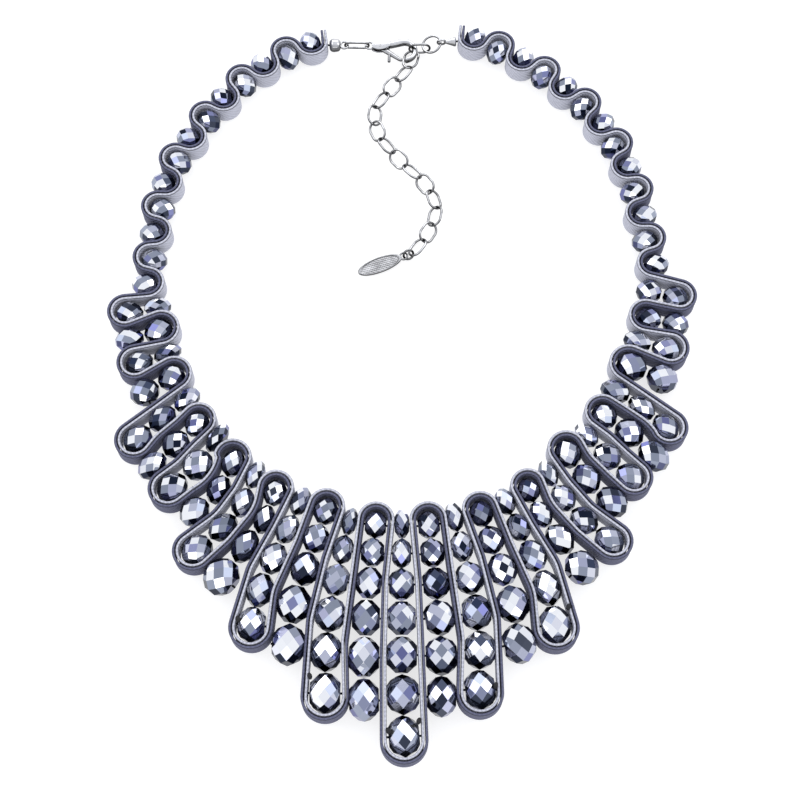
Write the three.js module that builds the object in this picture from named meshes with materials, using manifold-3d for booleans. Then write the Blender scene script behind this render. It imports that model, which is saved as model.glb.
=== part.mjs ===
// Bib necklace, lying flat: a two-ply braid on edge that folds round columns of faceted beads,
// with a beaded neck, a lobster clasp and an extender chain.
// Millimetres, +Z up, the neck towards +Y, origin at the middle of the footprint.

import * as THREE from "three";
import { ConvexGeometry } from "three/addons/geometries/ConvexGeometry.js";
import { mergeVertices } from "three/addons/utils/BufferGeometryUtils.js";
import Module from "manifold-3d";

const wasm = await Module();
wasm.setup();

// Overall size: the folds' and beads' places below are shares of these two
const NECKLACE_WIDTH = 158;
const NECKLACE_DEPTH = 210;

// Braid
const PLY_THICKNESS = 0.7;
const PLY_GAP = 0.25;
const BRAID_HEIGHT = 6;
const BRAID_END_LENGTH = 3.2;
const BRAID_END_LEAN = THREE.MathUtils.degToRad(8);
const TURN_STEP = THREE.MathUtils.degToRad(44);
const SPARE_SWING = THREE.MathUtils.degToRad(45);
const BEND_RADIUS = 12;
const BEND_SHARES = [0.3, 0.7];
const FEWEST_BEADS_TO_BEND = 3;

// Beads
const BEAD_SIDES = 10;
const BEAD_FACE_SHARE = 0.6;
const BEAD_THICKNESS_SHARE = 0.78;
const BEAD_CLEARANCE = 0.25;
const BEAD_BITE = 0.3;
const FIT_ROUNDS = 3;

// Height of the braid's middle above the ground, which falls from the bib to the neck
const BIB_MIDDLE_HEIGHT = 5;
const NECK_MIDDLE_HEIGHT = 3.75;
const FALL_START = -0.34;
const FALL_END = -0.1;

// Neck strings
const NECK_BEADS_A_SIDE = 13;
const NECK_BEAD_DIAMETER = 7.3;
const NECK_ZIGZAG = 0.75;
const NECK_TURN_SHARE = 0.488;
const THREAD_DIAMETER = 0.6;
const THREAD_CLEARANCE = 0.3;
const THREAD_SIDES = 4;

// Wire pieces
const WIRE_DIAMETER = 0.65;
const WIRE_SIDES = 5;
const WIRE_GAP = 0.2;
const RING_SEGMENTS = 10;
const EYE_DIAMETER = 2.85;

// End crimps
const LEFT_CRIMP_DIAMETER = 4;
const RIGHT_CRIMP_DIAMETER = 2.8;
const CRIMP_LENGTH = 3.2;
const CRIMP_CHAMFER = 0.35;
const CRIMP_SIDES = 12;
const CRIMP_GAP = 0.35;
const CRIMP_BORE_DEPTH = 1.2;

// Clasp link between the left crimp and the clasp
const CLASP_LINK_LENGTH = 7.4;
const CLASP_LINK_WIDTH = 3.2;

// Extender: its ring, its chain of oval links and the tag's ring
const EXTENDER_RING_DIAMETER = 6;
const EXTENDER_RING_TILT = THREE.MathUtils.degToRad(18);
const EXTENDER_RING_HEIGHT = 2.75;
const EXTENDER_RING_SLACK = 1.1;
const HELD_LINK_GAP = 0.65;
const HELD_LINK_ACROSS = 0.8;
const FIRST_JOINT_STEP = new THREE.Vector2(-1.9, 0.1);
const LINK_LENGTH = 6.5;
const LINK_WIDTH = 4.8;
const LINK_BITE = 0.2;
const LINK_TILT = THREE.MathUtils.degToRad(36);
const FIRST_LINK_TILT = THREE.MathUtils.degToRad(14);
const LINK_LIFT = 0.05;
const FIRST_JOINT_HEIGHT = 1.2;
const SECOND_JOINT_HEIGHT = 1.5;
const TAG_RING_DIAMETER = 3.4;
const TAG_RING_TILT = THREE.MathUtils.degToRad(56);

// Lobster clasp
const CLAW_RADIUS = 3;
const CLAW_WALL = 1.3;
const CLAW_HEIGHT = 2.2;
const CLASP_REACH = 7.2;
const CLASP_TURN = THREE.MathUtils.degToRad(-13);
const CLASP_MIDDLE_HEIGHT = 3.1;
const CLASP_EYE_DISTANCE = 3;
const CLASP_ROOT_RADIUS = 1.25;
const CLASP_ROOT_LENGTH = 2.1;
const CLAW_TIP_INNER_ANGLE = THREE.MathUtils.degToRad(-68);
const CLAW_TIP_OUTER_ANGLE = THREE.MathUtils.degToRad(-94);
const CLAW_ARC_POINTS = 10;
const PIN_DIAMETER = 0.7;
const PIN_CLEARANCE = 0.15;
const LEVER_THICKNESS = 0.8;
const LEVER_WIDTH = 1.1;
const LEVER_GAP = 0.3;
const LEVER_TIP_GAP = 0.5;
const LEVER_KNUCKLE_RADIUS = 0.95;
const SLOT_REACH = 3.2;
const SLOT_START = THREE.MathUtils.degToRad(-115);
const TAB_LENGTH = 3.1;
const TAB_WIDTH = 0.9;
const TAB_DISTANCE = 3.3;
const TAB_ANGLE = THREE.MathUtils.degToRad(-80);

// Tag
const TAG_LENGTH = 12.6;
const TAG_WIDTH = 4.4;
const TAG_THICKNESS = 0.6;
const TAG_RIM_WIDTH = 0.5;
const TAG_RECESS = 0.2;
const TAG_TURN = THREE.MathUtils.degToRad(20);
const TAG_LUG_RADIUS = 1.25;
const TAG_HOLE_DIAMETER = 1.5;
const TAG_POINTS = 16;

// The row of the clasp between the two ends of the neck
const ROW_MIDDLE = place(-0.013, 0.472);
const ROW_TURN = THREE.MathUtils.degToRad(2);

// The neck's line on each side, from near its end bead down to the bib: shares of the width
// and the depth
const LEFT_NECK_LINE = [
  [-0.25, 0.431],
  [-0.344, 0.352],
  [-0.409, 0.253],
  [-0.43, 0.11],
].map(([x, y]) => place(x, y));
const RIGHT_NECK_LINE = [
  [0.222, 0.442],
  [0.328, 0.372],
  [0.398, 0.278],
  [0.434, 0.138],
].map(([x, y]) => place(x, y));

// Folds of the bib from left to right: the middle of the bead in the closed end and of the
// bead in the mouth, as shares of the width and the depth, the number of beads, the mouth
// bead's diameter over the closed end's, and where the column bends: at which share of its
// length, and how far to the left of the straight way, as a share of the width
const FOLDS = [
  [-0.458, 0.071, -0.411, 0.078, 2, 1.0, 0.5, 0],
  [-0.407, 0.046, -0.455, 0.034, 2, 1.0, 0.5, 0],
  [-0.436, 0.002, -0.39, 0.016, 2, 1.0, 0.5, 0],
  [-0.381, -0.017, -0.426, -0.034, 2, 1.05, 0.5, 0],
  [-0.431, -0.099, -0.354, -0.046, 3, 0.95, 0.5, 0.006],
  [-0.335, -0.079, -0.404, -0.134, 3, 1.2, 0.5, 0],
  [-0.37, -0.162, -0.296, -0.1, 3, 1.0, 0.5, -0.006],
  [-0.275, -0.129, -0.33, -0.194, 3, 1.1, 0.5, 0.009],
  [-0.325, -0.241, -0.233, -0.146, 4, 0.9, 0.5, -0.015],
  [-0.203, -0.168, -0.285, -0.274, 4, 1.4, 0.45, 0.012],
  [-0.233, -0.333, -0.159, -0.18, 5, 0.85, 0.3, 0.014],
  [-0.12, -0.192, -0.174, -0.357, 5, 1.45, 0.72, -0.01],
  [-0.116, -0.414, -0.081, -0.205, 6, 0.72, 0.4, 0.012],
  [-0.039, -0.209, -0.057, -0.422, 6, 1.5, 0.54, -0.005],
  [0.006, -0.464, 0.002, -0.208, 7, 0.75, 0.3, 0.003],
  [0.046, -0.209, 0.064, -0.418, 6, 1.4, 0.6, 0.007],
  [0.124, -0.41, 0.087, -0.199, 6, 0.8, 0.4, -0.014],
  [0.131, -0.195, 0.191, -0.355, 5, 1.45, 0.7, 0.007],
  [0.244, -0.333, 0.169, -0.18, 5, 0.74, 0.3, -0.015],
  [0.209, -0.165, 0.29, -0.263, 4, 1.4, 0.35, -0.008],
  [0.336, -0.229, 0.245, -0.142, 4, 0.9, 0.55, 0.013],
  [0.275, -0.118, 0.341, -0.182, 3, 1.15, 0.5, -0.006],
  [0.375, -0.148, 0.306, -0.094, 3, 0.95, 0.5, 0.001],
  [0.338, -0.068, 0.416, -0.121, 3, 1.25, 0.5, 0.004],
  [0.438, -0.083, 0.359, -0.034, 3, 1.05, 0.5, -0.009],
  [0.387, -0.003, 0.437, -0.019, 2, 1.0, 0.5, 0],
  [0.447, 0.021, 0.399, 0.032, 2, 1.0, 0.5, 0],
  [0.42, 0.063, 0.465, 0.055, 2, 1.0, 0.5, 0],
  [0.468, 0.093, 0.424, 0.102, 2, 1.0, 0.5, 0],
].map(([closedX, closedY, openX, openY, beads, taper, bendAt, bendAside]) => ({
  closed: place(closedX, closedY),
  open: place(openX, openY),
  beads,
  taper,
  bendAt,
  bendAside,
}));

// The extender chain's route over the ground: steps in mm from the held link to the tag's ring
const EXTENDER_ROUTE = [
  [0, 0],
  [-1.7, -6.4],
  [-8.5, -15.1],
  [-11.3, -23],
  [-5.7, -33.2],
  [4.7, -44.6],
  [6, -53.8],
  [0.7, -62.8],
  [-1.6, -66],
].map(([x, y]) => new THREE.Vector2(x, y));

// Sizes that follow from the ones above
const BRAID_HALF_WIDTH = PLY_THICKNESS + PLY_GAP / 2;
const BED_WIDTH = BEAD_CLEARANCE + BRAID_HALF_WIDTH;
const WIRE_RADIUS = WIRE_DIAMETER / 2;
const EYE_RADIUS = (EYE_DIAMETER - WIRE_DIAMETER) / 2;
const WIRE_STEP = WIRE_DIAMETER + WIRE_GAP;

const MATERIALS = {
  crystal: { color: 0x8d909c, metalness: 0.9, roughness: 0.12 },
  paleBraid: { color: 0xb9b7c6, metalness: 0, roughness: 0.75 },
  darkBraid: { color: 0x4f4e63, metalness: 0, roughness: 0.7 },
  silver: { color: 0xc9c9cc, metalness: 1, roughness: 0.2 },
};

// A point in plan from its shares of the width and the depth
function place(shareX, shareY) {
  return new THREE.Vector2(shareX * NECKLACE_WIDTH, shareY * NECKLACE_DEPTH);
}

// Height of the braid's middle above the ground at a place in plan
function middleHeight(y) {
  const fall = THREE.MathUtils.smoothstep(y / NECKLACE_DEPTH, FALL_START, FALL_END);
  return THREE.MathUtils.lerp(BIB_MIDDLE_HEIGHT, NECK_MIDDLE_HEIGHT, fall);
}

// Closed solids from geometries and back

function solidOf(geometry) {
  const bare = geometry.clone();
  for (const name of Object.keys(bare.attributes)) {
    if (name !== "position") bare.deleteAttribute(name);
  }
  const merged = mergeVertices(bare, 1e-4);
  const mesh = new wasm.Mesh({
    numProp: 3,
    vertProperties: new Float32Array(merged.attributes.position.array),
    triVerts: new Uint32Array(merged.index.array),
  });
  return new wasm.Manifold(mesh);
}

function geometryOf(solid) {
  const mesh = solid.getMesh();
  const positions = new Float32Array(mesh.numVert * 3);
  for (let i = 0; i < mesh.numVert; i++) {
    const start = i * mesh.numProp;
    positions.set(mesh.vertProperties.subarray(start, start + 3), i * 3);
  }
  const geometry = new THREE.BufferGeometry();
  geometry.setAttribute("position", new THREE.BufferAttribute(positions, 3));
  geometry.setIndex(new THREE.BufferAttribute(new Uint32Array(mesh.triVerts), 1));
  const flat = geometry.toNonIndexed();
  flat.computeVertexNormals();
  return flat;
}

function joined(geometries) {
  return geometries.map(solidOf).reduce((whole, piece) => whole.add(piece));
}

// A prism along the line between two points
function rod(from, to, diameter, sides) {
  const along = new THREE.Vector3().subVectors(to, from);
  const geometry = new THREE.CylinderGeometry(diameter / 2, diameter / 2, along.length(), sides);
  const turn = new THREE.Quaternion();
  turn.setFromUnitVectors(new THREE.Vector3(0, 1, 0), along.clone().normalize());
  geometry.applyQuaternion(turn);
  geometry.translate(...new THREE.Vector3().addVectors(from, to).multiplyScalar(0.5));
  return geometry;
}

// Braid: round turns joined by the straight lines that touch them

function angleBetween(from, to) {
  return THREE.MathUtils.euclideanModulo(to - from + Math.PI, 2 * Math.PI) - Math.PI;
}

// Heading of the straight line from one turn to the next, each touched on its own side
function headingBetween(turn, next) {
  const between = new THREE.Vector2().subVectors(next.middle, turn.middle);
  const across = turn.side * turn.radius - next.side * next.radius;
  const reach = THREE.MathUtils.clamp(across / between.length(), -0.999, 0.999);
  return between.angle() + Math.asin(reach);
}

// Puts wide turns at the points where a pass bends on its way from one turn to the next
function bendPass(turn, points, next) {
  const stops = [turn, ...points.map((middle) => ({ middle, radius: 0, side: 0 })), next];
  const headings = stops.slice(1).map((stop, i) => headingBetween(stops[i], stop));
  return points.map((point, i) => {
    const swing = angleBetween(headings[i], headings[i + 1]);
    const heading = headings[i] + swing / 2;
    const side = Math.sign(swing);
    const left = new THREE.Vector2(-Math.sin(heading), Math.cos(heading));
    const middle = left.multiplyScalar(side * BEND_RADIUS).add(point);
    return { middle, radius: BEND_RADIUS, side };
  });
}

// Adds to each turn the headings at which the braid comes in and goes out. A bend may come out
// a little less than straight, which is a small swing the other way.
function addHeadings(turns, firstHeading, lastHeading) {
  turns.forEach((turn, i) => {
    turn.headingIn = i === 0 ? firstHeading : turns[i - 1].headingOut;
    const last = i === turns.length - 1;
    turn.headingOut = last ? lastHeading : headingBetween(turn, turns[i + 1]);
    const swing = turn.side * (turn.headingOut - turn.headingIn);
    turn.swing = THREE.MathUtils.euclideanModulo(swing + SPARE_SWING, 2 * Math.PI) - SPARE_SWING;
  });
}

// The line that runs beside the braid's middle, offset to the left of the way it goes. Its
// straight stretches touch the round of each turn from outside.
function braidLine(turns, offset) {
  const points = [];
  const pointAt = (turn, heading, halfStep = 0) => {
    const left = new THREE.Vector2(-Math.sin(heading), Math.cos(heading));
    const reach = (offset - turn.side * turn.radius) / Math.cos(halfStep);
    return left.multiplyScalar(reach).add(turn.middle);
  };
  const endStep = (heading, sign) =>
    new THREE.Vector2(Math.cos(heading), Math.sin(heading)).multiplyScalar(
      sign * BRAID_END_LENGTH,
    );
  turns.forEach((turn, i) => {
    const steps = Math.max(1, Math.ceil(turn.swing / TURN_STEP));
    if (i === 0) {
      points.push(pointAt(turn, turn.headingIn).add(endStep(turn.headingIn, -1)));
    }
    const halfStep = turn.swing / steps / 2;
    for (let step = 0; step < steps; step++) {
      const heading = turn.headingIn + turn.side * halfStep * (2 * step + 1);
      points.push(pointAt(turn, heading, halfStep));
    }
    if (i === turns.length - 1) {
      points.push(pointAt(turn, turn.headingOut).add(endStep(turn.headingOut, 1)));
    }
  });
  return points;
}

// One ply: a wall on edge between two offsets, that follows the middle height
function plyGeometry(turns, innerOffset, outerOffset) {
  const edge = braidLine(turns, innerOffset);
  const otherEdge = braidLine(turns, outerOffset).reverse();
  const outline = new THREE.Shape([...edge, ...otherEdge]);
  const geometry = new THREE.ExtrudeGeometry(outline, {
    depth: BRAID_HEIGHT,
    bevelEnabled: false,
  });
  const position = geometry.attributes.position;
  for (let i = 0; i < position.count; i++) {
    const bottom = middleHeight(position.getY(i)) - BRAID_HEIGHT / 2;
    position.setZ(i, position.getZ(i) + bottom);
  }
  return geometry;
}

// Beads

// A rondelle: ten-sided, with a flat face at each end of its hole and rows of pointed facets
// between. Its hole runs along the given heading and a corner points across it. Its length,
// across the hole in plan, can be a little over its diameter so that it reaches its neighbour.
function beadGeometry(bead) {
  const points = [];
  const ring = (share, along, shift) => {
    for (let side = 0; side < BEAD_SIDES; side++) {
      const angle = (2 * Math.PI * (side + shift)) / BEAD_SIDES;
      const across = ((share * bead.length) / 2) * Math.cos(angle);
      const up = ((share * bead.diameter) / 2) * Math.sin(angle);
      points.push(new THREE.Vector3(along, across, up));
    }
  };
  ring(BEAD_FACE_SHARE, -bead.thickness / 2, 0.5);
  ring(1, 0, 0);
  ring(BEAD_FACE_SHARE, bead.thickness / 2, 0.5);
  const geometry = new ConvexGeometry(points);
  geometry.rotateZ(bead.heading);
  geometry.translate(bead.middle.x, bead.middle.y, bead.height);
  return geometry;
}

// A bead rests on the ground if it is too big to stay at the height of the braid's middle
function beadHeight(y, diameter) {
  const restingHeight = (diameter / 2) * Math.cos(Math.PI / BEAD_SIDES);
  return Math.max(middleHeight(y), restingHeight);
}

// Distance from a point along a direction to the nearest of the walls
function roomToWalls(walls, start, direction, limit) {
  let room = limit;
  for (const [a, b] of walls) {
    const wall = new THREE.Vector2().subVectors(b, a);
    const cross = direction.cross(wall);
    if (Math.abs(cross) < 1e-9) continue;
    const gap = new THREE.Vector2().subVectors(a, start);
    const distance = gap.cross(wall) / cross;
    const share = gap.cross(direction) / cross;
    if (share >= 0 && share <= 1 && distance > 0 && distance < room) room = distance;
  }
  return room;
}

// Half the thickness that fits on one side of a bead's middle
function halfThatFits(walls, middle, across, diameter, mostHalf) {
  const along = new THREE.Vector2(-across.y, across.x);
  let half = mostHalf;
  for (let step = -4; step <= 4; step++) {
    const share = (BEAD_FACE_SHARE * step) / 3;
    const start = along.clone().multiplyScalar((share * diameter) / 2).add(middle);
    const room = roomToWalls(walls, start, across, 2 * mostHalf) - BEAD_CLEARANCE;
    const slope = Math.min(1, (1 - Math.abs(share)) / (1 - BEAD_FACE_SHARE));
    half = Math.min(half, room / slope);
  }
  return half;
}

// Puts a bead's middle and thickness where the passes of the braid leave room for it
function fitBead(walls, middle, heading, diameter) {
  const across = new THREE.Vector2(Math.cos(heading), Math.sin(heading));
  const mostHalf = (BEAD_THICKNESS_SHARE * diameter) / 2;
  const right = halfThatFits(walls, middle, across, diameter, 2 * mostHalf);
  const left = halfThatFits(walls, middle, across.clone().negate(), diameter, 2 * mostHalf);
  const thickness = Math.min(2 * mostHalf, left + right);
  const shift = THREE.MathUtils.clamp(0, thickness / 2 - left, right - thickness / 2);
  return {
    middle: across.multiplyScalar(shift).add(middle),
    heading,
    thickness,
  };
}

// The line of a column from the bead in the closed end to the one in the mouth
function columnLine(fold) {
  const along = new THREE.Vector2().subVectors(fold.open, fold.closed);
  const aside = new THREE.Vector2(-along.y, along.x).normalize();
  const bend = along.multiplyScalar(fold.bendAt).add(fold.closed);
  bend.addScaledVector(aside, fold.bendAside * NECKLACE_WIDTH);
  return new THREE.SplineCurve([fold.closed, bend, fold.open]);
}

// Size of a column's bead over that of the closed end's, at a share of the way to the mouth
function sizeAlong(fold, share) {
  return THREE.MathUtils.lerp(1, fold.taper, THREE.MathUtils.smoothstep(share, 0, 1));
}

// Places of a column's beads, which touch each other
function columnPlaces(fold) {
  const line = columnLine(fold);
  const sizes = [];
  for (let i = 0; i < fold.beads; i++) sizes.push(sizeAlong(fold, i / (fold.beads - 1)));
  const steps = sizes.slice(1).map((size, i) => (size + sizes[i]) / 2);
  const total = steps.reduce((sum, step) => sum + step, 0);
  const places = [0];
  steps.forEach((step) => places.push(Math.min(1, places.at(-1) + step / total)));
  return places.map((share, i) => ({
    middle: line.getPointAt(share),
    heading: line.getTangentAt(share).angle() + Math.PI / 2,
    diameter: (sizes[i] * line.getLength()) / total,
  }));
}

// Points that the pass between two folds bends at, midway between the sides of their beads
function passPoints(fold, next) {
  if (Math.min(fold.beads, next.beads) < FEWEST_BEADS_TO_BEND) return [];
  return BEND_SHARES.map((share) => {
    const point = columnLine(fold).getPointAt(share);
    const half = sizeAlong(fold, share) * columnPlaces(fold)[0].diameter;
    const nextHalf = sizeAlong(next, 1 - share) * columnPlaces(next)[0].diameter;
    return point.lerp(columnLine(next).getPointAt(1 - share), half / (half + nextHalf));
  });
}

// Neck strings: a turn of the braid round each bead, closed on the other side each time

function neckString(end, line, closedSide) {
  const curve = new THREE.SplineCurve([end, ...line]);
  const middles = curve.getSpacedPoints(NECK_BEADS_A_SIDE - 1);
  const spacing = curve.getLength() / (NECK_BEADS_A_SIDE - 1);
  const bedRadius = (BEAD_THICKNESS_SHARE * NECK_BEAD_DIAMETER) / 2 + BED_WIDTH;
  const radius = Math.min(bedRadius, NECK_TURN_SHARE * spacing);
  return middles.map((middle, i) => {
    const tangent = curve.getTangentAt(i / (NECK_BEADS_A_SIDE - 1));
    const side = i % 2 === 0 ? closedSide : -closedSide;
    const towardsTurn = new THREE.Vector2(-tangent.y, tangent.x).multiplyScalar(side);
    const bead = towardsTurn.clone().multiplyScalar(-NECK_ZIGZAG).add(middle);
    const turnShift = NECK_BEAD_DIAMETER / 2 + BED_WIDTH - radius;
    return {
      place: { middle: bead, diameter: NECK_BEAD_DIAMETER },
      heading: tangent.angle(),
      turn: { middle: towardsTurn.multiplyScalar(turnShift).add(bead), radius },
    };
  });
}

// The turn round the bead in a fold's closed end
function foldTurn(fold) {
  const { middle, diameter } = columnPlaces(fold)[0];
  const radius = (BEAD_THICKNESS_SHARE * diameter) / 2 + BED_WIDTH;
  const towardsTurn = columnLine(fold).getTangentAt(0).negate();
  const shift = diameter / 2 + BED_WIDTH - radius;
  return { middle: towardsTurn.multiplyScalar(shift).add(middle), radius };
}

// Finished beads: fitted between the walls of the braid and set at their height
function fittedBead(walls, { middle, diameter }, heading) {
  const bead = fitBead(walls, middle, heading, diameter);
  return { ...bead, diameter, length: diameter, height: beadHeight(bead.middle.y, diameter) };
}

// The thickness that fits round a bead's middle, where that stays in place
function centredThickness(walls, { middle, heading, length, thickness }) {
  const across = new THREE.Vector2(Math.cos(heading), Math.sin(heading));
  const right = halfThatFits(walls, middle, across, length, thickness / 2);
  const left = halfThatFits(walls, middle, across.clone().negate(), length, thickness / 2);
  return 2 * Math.min(left, right);
}

function fittedColumn(walls, fold) {
  const beads = columnPlaces(fold).map((bead) => fittedBead(walls, bead, bead.heading));
  // Each bead reaches back over the tip of the one before it, so the column is one body. A tip
  // that stands aside of the bead's middle meets its slanting facets, which takes a little more.
  beads.slice(1).forEach((bead, i) => {
    const before = beads[i];
    const tip = new THREE.Vector2(0, -before.length / 2);
    tip.rotateAround(new THREE.Vector2(), before.heading).add(before.middle).sub(bead.middle);
    tip.rotateAround(new THREE.Vector2(), -bead.heading);
    const reach = Math.hypot(tip.y, bead.height - before.height) + BEAD_BITE;
    for (let round = 0; round < FIT_ROUNDS; round++) {
      const slant = ((1 - BEAD_FACE_SHARE) * Math.abs(tip.x)) / bead.thickness;
      bead.length = Math.max(bead.length, reach / (0.5 - slant));
      bead.thickness = centredThickness(walls, bead);
    }
  });
  return beads;
}

const at3 = (bead) => new THREE.Vector3(bead.middle.x, bead.middle.y, bead.height);

// The rods of a neck's thread, from inside the crimp through its beads
function threadRods(crimpPoint, beads, diameter) {
  const points = [crimpPoint, ...beads.map(at3)];
  return points.slice(1).map((point, i) => rod(points[i], point, diameter, THREAD_SIDES));
}

// Wire pieces

// A closed wire, round or oval, lying flat with its length along X
function wireLoop(length, width) {
  const geometry = new THREE.TorusGeometry(1, 0.5, WIRE_SIDES, RING_SEGMENTS);
  const { position, uv } = geometry.attributes;
  const endRadius = (width - WIRE_DIAMETER) / 2;
  const stretch = (length - width) / 2;
  for (let i = 0; i < position.count; i++) {
    const round = 2 * Math.PI * uv.getX(i);
    const section = 2 * Math.PI * uv.getY(i);
    const reach = endRadius + WIRE_RADIUS * Math.cos(section);
    const side = Math.abs(Math.cos(round)) < 1e-6 ? 0 : Math.sign(Math.cos(round));
    position.setXYZ(
      i,
      reach * Math.cos(round) + side * stretch,
      reach * Math.sin(round),
      WIRE_RADIUS * Math.sin(section),
    );
  }
  return geometry;
}

// Tilts a wire loop about its length, slopes it, heads it and puts it in place
function setLoop(geometry, { middle, heading = 0, tilt = 0, slope = 0 }) {
  geometry.rotateX(tilt);
  geometry.rotateY(-slope);
  geometry.rotateZ(heading);
  geometry.translate(middle.x, middle.y, middle.z);
  return geometry;
}

// The clasp row: distances from the left end bead to each piece along the row
function layOutRow() {
  const endBeadReach =
    (BEAD_THICKNESS_SHARE * NECK_BEAD_DIAMETER) / 2 +
    BEAD_CLEARANCE +
    2 * BRAID_HALF_WIDTH +
    CRIMP_GAP;
  const eyeReach = CRIMP_LENGTH + EYE_RADIUS - 0.15 * WIRE_DIAMETER;
  const clasp = new THREE.Vector2(Math.cos(CLASP_TURN), Math.sin(CLASP_TURN));
  const leftCrimp = endBeadReach;
  const leftEye = leftCrimp + eyeReach;
  const linkHalf = (CLASP_LINK_LENGTH - WIRE_DIAMETER) / 2;
  const claspLink = leftEye + EYE_RADIUS - WIRE_STEP + linkHalf;
  const claspEye = claspLink + linkHalf - WIRE_STEP + EYE_RADIUS;
  const pivot = clasp.clone().multiplyScalar(CLASP_EYE_DISTANCE);
  pivot.x += claspEye;
  const claw = clasp.clone().multiplyScalar(CLASP_REACH).add(pivot);
  const heldHalf = (LINK_LENGTH - WIRE_DIAMETER) / 2;
  const heldLink = claw.x + CLAW_RADIUS - CLAW_WALL / 2 - HELD_LINK_GAP - WIRE_RADIUS + heldHalf;
  const ringReach = ((EXTENDER_RING_DIAMETER - WIRE_DIAMETER) / 2) * Math.cos(EXTENDER_RING_TILT);
  const ring = heldLink + heldHalf - WIRE_STEP - EXTENDER_RING_SLACK + ringReach;
  const rightEye = ring + ringReach - WIRE_STEP + EYE_RADIUS;
  const rightCrimp = rightEye + eyeReach;
  const length = rightCrimp + endBeadReach;
  return { leftCrimp, leftEye, claspLink, pivot, claw, heldLink, ring, rightEye, rightCrimp, length };
}

const row = layOutRow();

// A point of the clasp row in plan, from its distance along the row and across it
function rowPoint(along, across, height) {
  const point = new THREE.Vector2(along - row.length / 2, across);
  point.rotateAround(new THREE.Vector2(), ROW_TURN).add(ROW_MIDDLE);
  return new THREE.Vector3(point.x, point.y, height);
}

// A crimp with a blind bore for the thread and an eye on its far end
function crimpSolid(diameter, start, towards, eye, eyeTilt) {
  const bore = THREAD_DIAMETER / 2 + THREAD_CLEARANCE;
  const radius = diameter / 2;
  const profile = [
    [0, CRIMP_BORE_DEPTH],
    [bore, CRIMP_BORE_DEPTH],
    [bore, 0],
    [radius - CRIMP_CHAMFER, 0],
    [radius, CRIMP_CHAMFER],
    [radius, CRIMP_LENGTH - CRIMP_CHAMFER],
    [radius - CRIMP_CHAMFER, CRIMP_LENGTH],
    [0, CRIMP_LENGTH],
  ].map(([x, y]) => new THREE.Vector2(x, y));
  const barrel = new THREE.LatheGeometry(profile, CRIMP_SIDES);
  barrel.rotateZ(-Math.PI / 2 + towards);
  barrel.translate(start.x, start.y, start.z);
  const loop = setLoop(wireLoop(EYE_DIAMETER, EYE_DIAMETER), {
    middle: eye,
    heading: ROW_TURN,
    tilt: eyeTilt,
  });
  return joined([barrel, loop]);
}

// Clasp, about its pivot pin and with its claw towards X

const LEVER_SLOPE = Math.asin(CLAW_RADIUS / CLASP_REACH);

// A flat piece between two heights, from an outline
function slab(outline, thickness, points = CLAW_ARC_POINTS) {
  const geometry = new THREE.ExtrudeGeometry(outline, {
    depth: thickness,
    bevelEnabled: false,
    curveSegments: points,
  });
  geometry.translate(0, 0, -thickness / 2);
  return geometry;
}

function disc(radius, thickness, x = 0, y = 0) {
  const outline = new THREE.Shape();
  outline.absarc(x, y, radius, 0, 2 * Math.PI);
  return slab(outline, thickness, 14);
}

// A band of even width: a straight from the pivot to the claw's circle, then round it
function bandOutline(width, side, innerEnd, outerEnd) {
  const tangentAngle = side * (Math.PI / 2 + LEVER_SLOPE);
  const inner = CLAW_RADIUS - width / 2;
  const outer = CLAW_RADIUS + width / 2;
  const start = new THREE.Vector2(Math.cos(tangentAngle), Math.sin(tangentAngle));
  const outline = new THREE.Shape();
  outline.moveTo((-start.x * width) / 2, (-start.y * width) / 2);
  outline.lineTo(CLASP_REACH + start.x * inner, start.y * inner);
  outline.absarc(CLASP_REACH, 0, inner, tangentAngle, innerEnd, side > 0);
  outline.lineTo(CLASP_REACH + Math.cos(outerEnd) * outer, Math.sin(outerEnd) * outer);
  outline.absarc(CLASP_REACH, 0, outer, outerEnd, tangentAngle, side < 0);
  outline.lineTo((start.x * width) / 2, (start.y * width) / 2);
  outline.closePath();
  return outline;
}

function claspBodySolid() {
  const claw = bandOutline(CLAW_WALL, 1, CLAW_TIP_INNER_ANGLE, CLAW_TIP_OUTER_ANGLE);
  const root = new THREE.BoxGeometry(CLASP_ROOT_LENGTH, 1.6 * CLASP_ROOT_RADIUS, CLAW_HEIGHT);
  root.translate(-CLASP_ROOT_LENGTH / 2, 0, 0);
  const eye = setLoop(wireLoop(EYE_DIAMETER, EYE_DIAMETER), {
    middle: new THREE.Vector3(-CLASP_EYE_DISTANCE, 0, 0),
  });
  const slotWedge = new THREE.Shape();
  slotWedge.moveTo(0, 0);
  slotWedge.lineTo(SLOT_REACH * Math.cos(SLOT_START), SLOT_REACH * Math.sin(SLOT_START));
  slotWedge.absarc(0, 0, SLOT_REACH, SLOT_START, LEVER_SLOPE, false);
  slotWedge.closePath();
  const slotHeight = LEVER_THICKNESS + 2 * LEVER_GAP;
  const pin = disc(PIN_DIAMETER / 2, CLAW_HEIGHT - 0.2);
  return joined([slab(claw, CLAW_HEIGHT), disc(CLASP_ROOT_RADIUS, CLAW_HEIGHT), root, eye])
    .subtract(solidOf(slab(slotWedge, slotHeight)))
    .subtract(solidOf(disc(LEVER_KNUCKLE_RADIUS + LEVER_GAP, slotHeight)))
    .add(solidOf(pin));
}

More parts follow.
